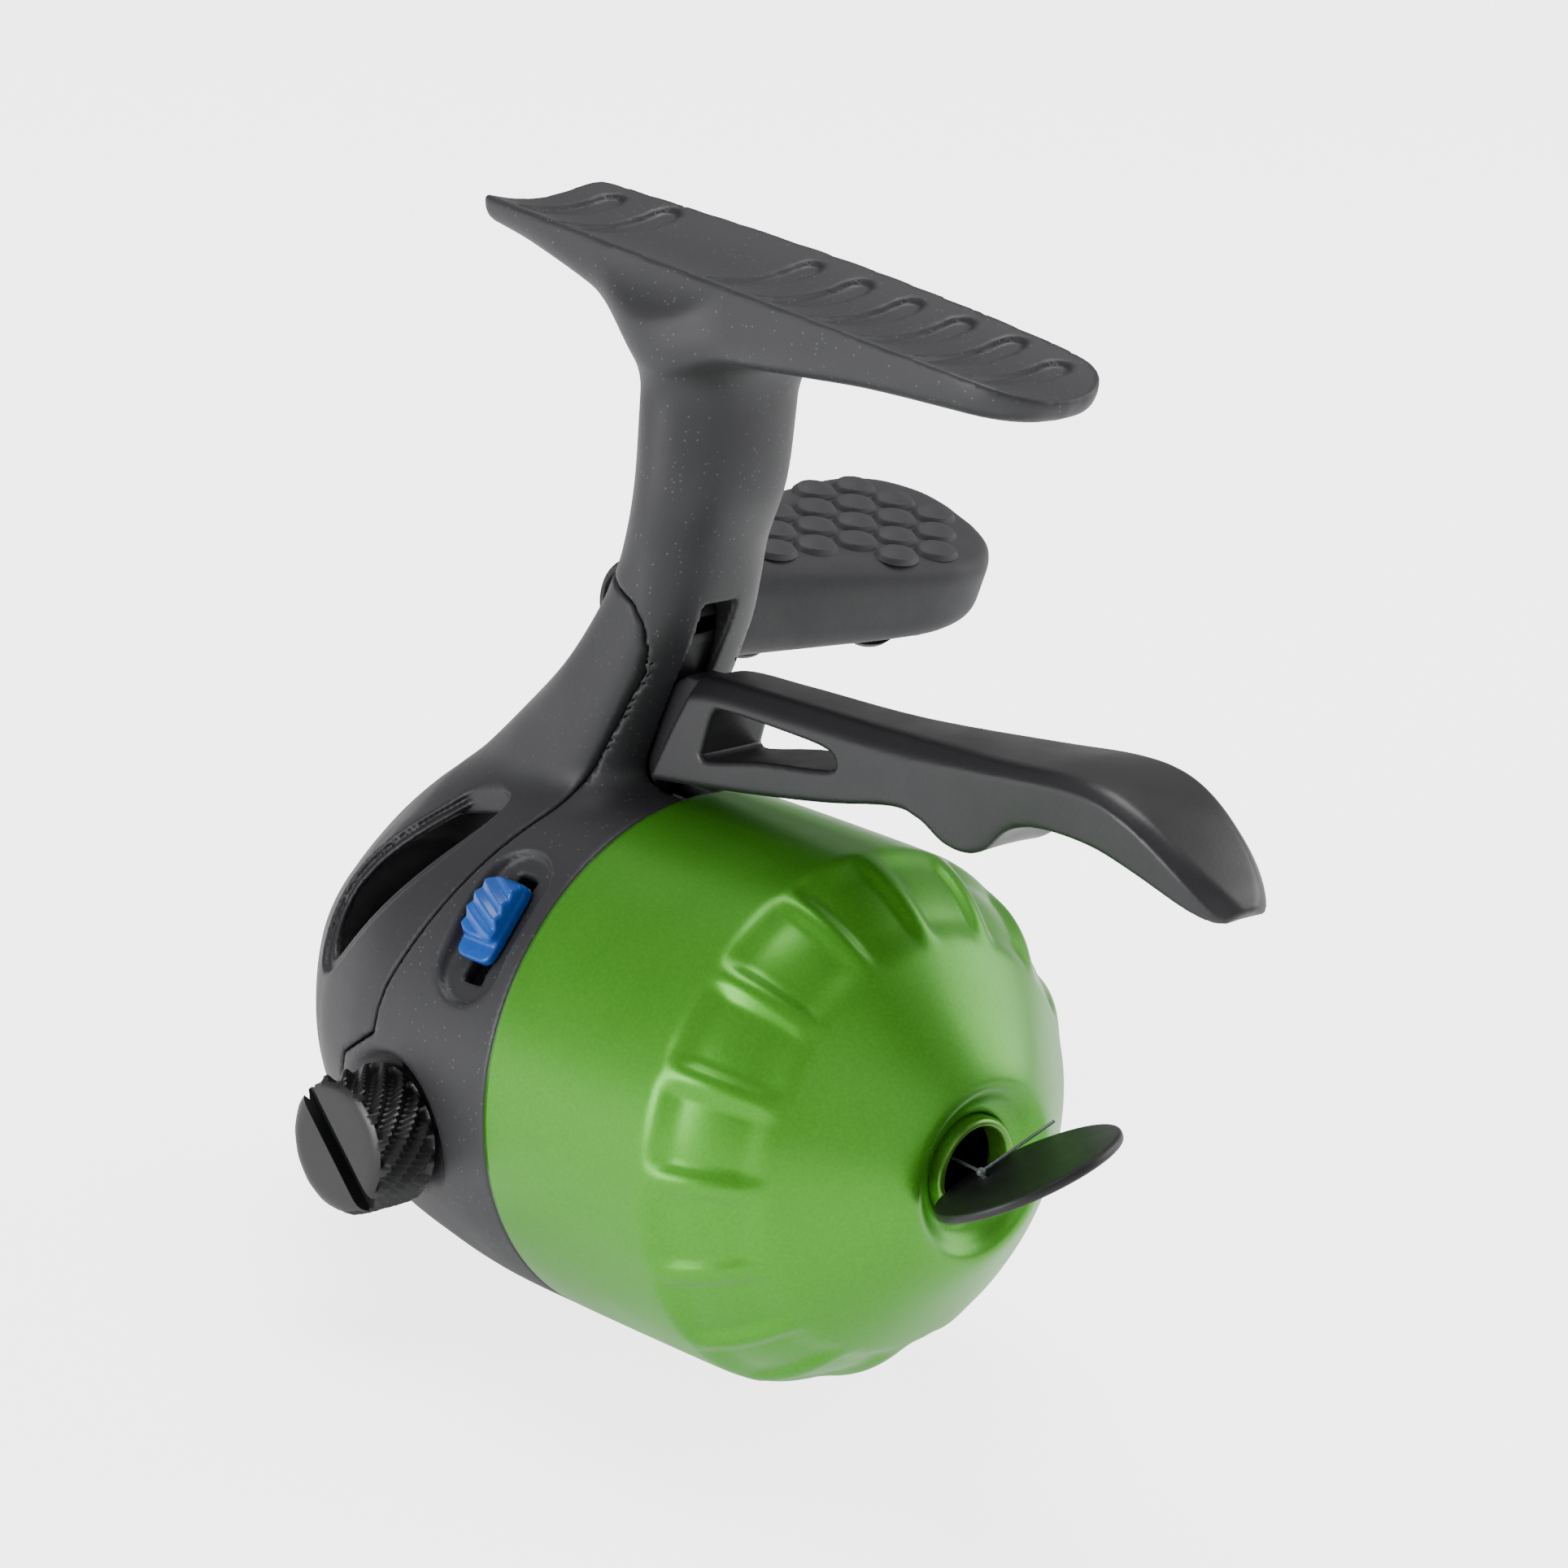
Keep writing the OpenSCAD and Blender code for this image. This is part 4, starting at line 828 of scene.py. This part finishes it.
# %% Skin the switch
def switch_form(x, y, z):
    base = trim(trim(np.abs(x + 0.5) - 2.2, np.abs(z - 0.4) - 4.0, 1.2), np.abs(y - 23.6) - 0.52, 0.3)
    wave = np.abs(((z * 0.9 + x * 0.42) / 1.35) % 1.0 - 0.5) * 0.9
    crown = 26.1 - 0.09 * (z - 1.2) ** 2 - 0.05 * x * x - wave
    raised = trim(trim(np.abs(x + 0.5) - 2.15, np.abs(z - 1.2) - 3.0, 0.8), y - crown, 0.35)
    post = np.maximum(np.maximum(np.abs(x) - 1, np.abs(z - 1) - 2), np.abs(y - 21.9) - 1.5)
    return np.minimum(join(base, np.maximum(raised, 23.4 - y), 0.4), post)


FLANK = (BARREL @ Matrix.Rotation(math.radians(-37), 4, "X") @ Matrix.Translation((-6.2, 0, 0))
         @ Matrix.Diagonal((1, -1, 1, 1)))
switch = skin("alert_switch", switch_form, (-3.2, 19.8, -4.2), (2.4, 27, 5), 0.14, FLANK)
# the flank's frame is a mirror image, so the faces are turned over
switch.data.flip_normals()
settle(switch, switch_finish, "alert", "alert_slider")

# %% Skin the disc
DISC = BARREL @ Matrix.Translation((44.8, -2.3, 2.8)) @ Matrix.Rotation(math.radians(-25), 4, "Y") \
    @ Matrix.Rotation(math.radians(13.7), 4, "X")


def disc_form(x, y, z):
    r = np.sqrt(x * x + y * y)
    body = trim(r - 8.8, np.abs(z) - 0.45, 0.35)
    return trim(body, 0.5 - np.sqrt((x + 5.4) ** 2 + y * y), 0.15)


disc = skin("line_disc", disc_form, (-9.1, -9.1, -0.8), (9.1, 9.1, 0.8), 0.2, DISC)
settle(disc, disc_finish, "frame", "line_keeper")

# %% [markdown]
# ## Small turned parts
# Screws, the shaft's end and its bushings keep the mechanism's shapes. Their edges are broken by 0.12 mm,
# as a turned or moulded edge is, so that each one catches the light.

# %% Break the edges of the small parts
for name, body in (("cover_screws", "frame"), ("crank_bushing_left", "frame"),
                   ("crank_bushing_right", "frame"), ("arm_screw", "crank"), ("crank_shaft", "crank"),
                   ("knob_axle", "crank")):
    mesh = nodes[name].data.copy()
    mesh.transform(nodes[name].matrix_world)
    weld = bmesh.new()
    weld.from_mesh(mesh)
    bmesh.ops.remove_doubles(weld, verts=weld.verts, dist=1e-6)
    weld.to_mesh(mesh)
    weld.free()
    part = bpy.data.objects.new(name + "_turned", mesh)
    bpy.context.collection.objects.link(part)
    edge = part.modifiers.new("edge", "BEVEL")
    edge.width, edge.segments, edge.limit_method, edge.angle_limit = 0.00012, 2, "ANGLE", math.radians(40)
    bpy.context.view_layer.update()
    part.data = bpy.data.meshes.new_from_object(part.evaluated_get(bpy.context.evaluated_depsgraph_get()))
    part.modifiers.clear()
    part.data.shade_smooth()
    part.data.set_sharp_from_angle(angle=math.radians(35))
    settle(part, finishes[slots[name]], body, name)
print("small parts ready")

# %% [markdown]
# ## Studio
# A pale floor that glows a little, as a lit acrylic table does, a large soft light on each side and one
# overhead. The surround looks white, and throws less light on the reel than it shows.

# %% Floor, lights and surround
low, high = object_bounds()
floor_mesh = bpy.data.meshes.new("floor")
floor_mesh.from_pydata([(-3, -3, low[2] - 0.0004), (3, -3, low[2] - 0.0004), (3, 3, low[2] - 0.0004),
                        (-3, 3, low[2] - 0.0004)], [], [(0, 1, 2, 3)])
floor = bpy.data.objects.new("floor", floor_mesh)
bpy.context.collection.objects.link(floor)
pale, floor_tree, floor_shader = finish("pale_floor", "#f6f6f7", 0.7, Emission_Color=(1, 1, 1, 1))
floor_mesh.materials.append(pale)
seen_floor = put(floor_tree, "ShaderNodeLightPath").outputs["Is Camera Ray"]
glow = put(floor_tree, "ShaderNodeMapRange", {"Value": seen_floor, "To Min": 0.6, "To Max": 3.2})
floor_tree.links.new(glow.outputs[0], floor_shader.inputs["Emission Strength"])
target = Vector((0.005, 0, -0.055))
for name, where, size, power in (("key", (-0.1, -0.9, 0.0), 0.5, 8.0),
                                 ("fill", (0.85, -0.15, 0.25), 0.6, 0.8),
                                 ("over", (-0.2, 0.1, 0.9), 0.6, 8.0), ("rim", (0.3, 0.8, 0.3), 0.6, 4.0)):
    light = bpy.data.lights.new(name, "AREA")
    light.size, light.energy = size, power
    lamp = bpy.data.objects.new(name, light)
    lamp.location = where
    lamp.rotation_euler = (target - Vector(where)).to_track_quat("-Z", "Y").to_euler()
    bpy.context.collection.objects.link(lamp)
world = bpy.data.worlds.new("light_tent")
world.use_nodes = True
shown = world.node_tree.nodes["Background"]
shown.inputs["Color"].default_value = (1, 1, 1, 1)
path = put(world.node_tree, "ShaderNodeLightPath")
level = put(world.node_tree, "ShaderNodeMapRange", {"Value": path.outputs["Is Camera Ray"],
                                                   "To Min": 0.38, "To Max": 4.0})
world.node_tree.links.new(level.outputs[0], shown.inputs["Strength"])
bpy.context.scene.world = world
print("studio ready")

# %% The last cell
import json
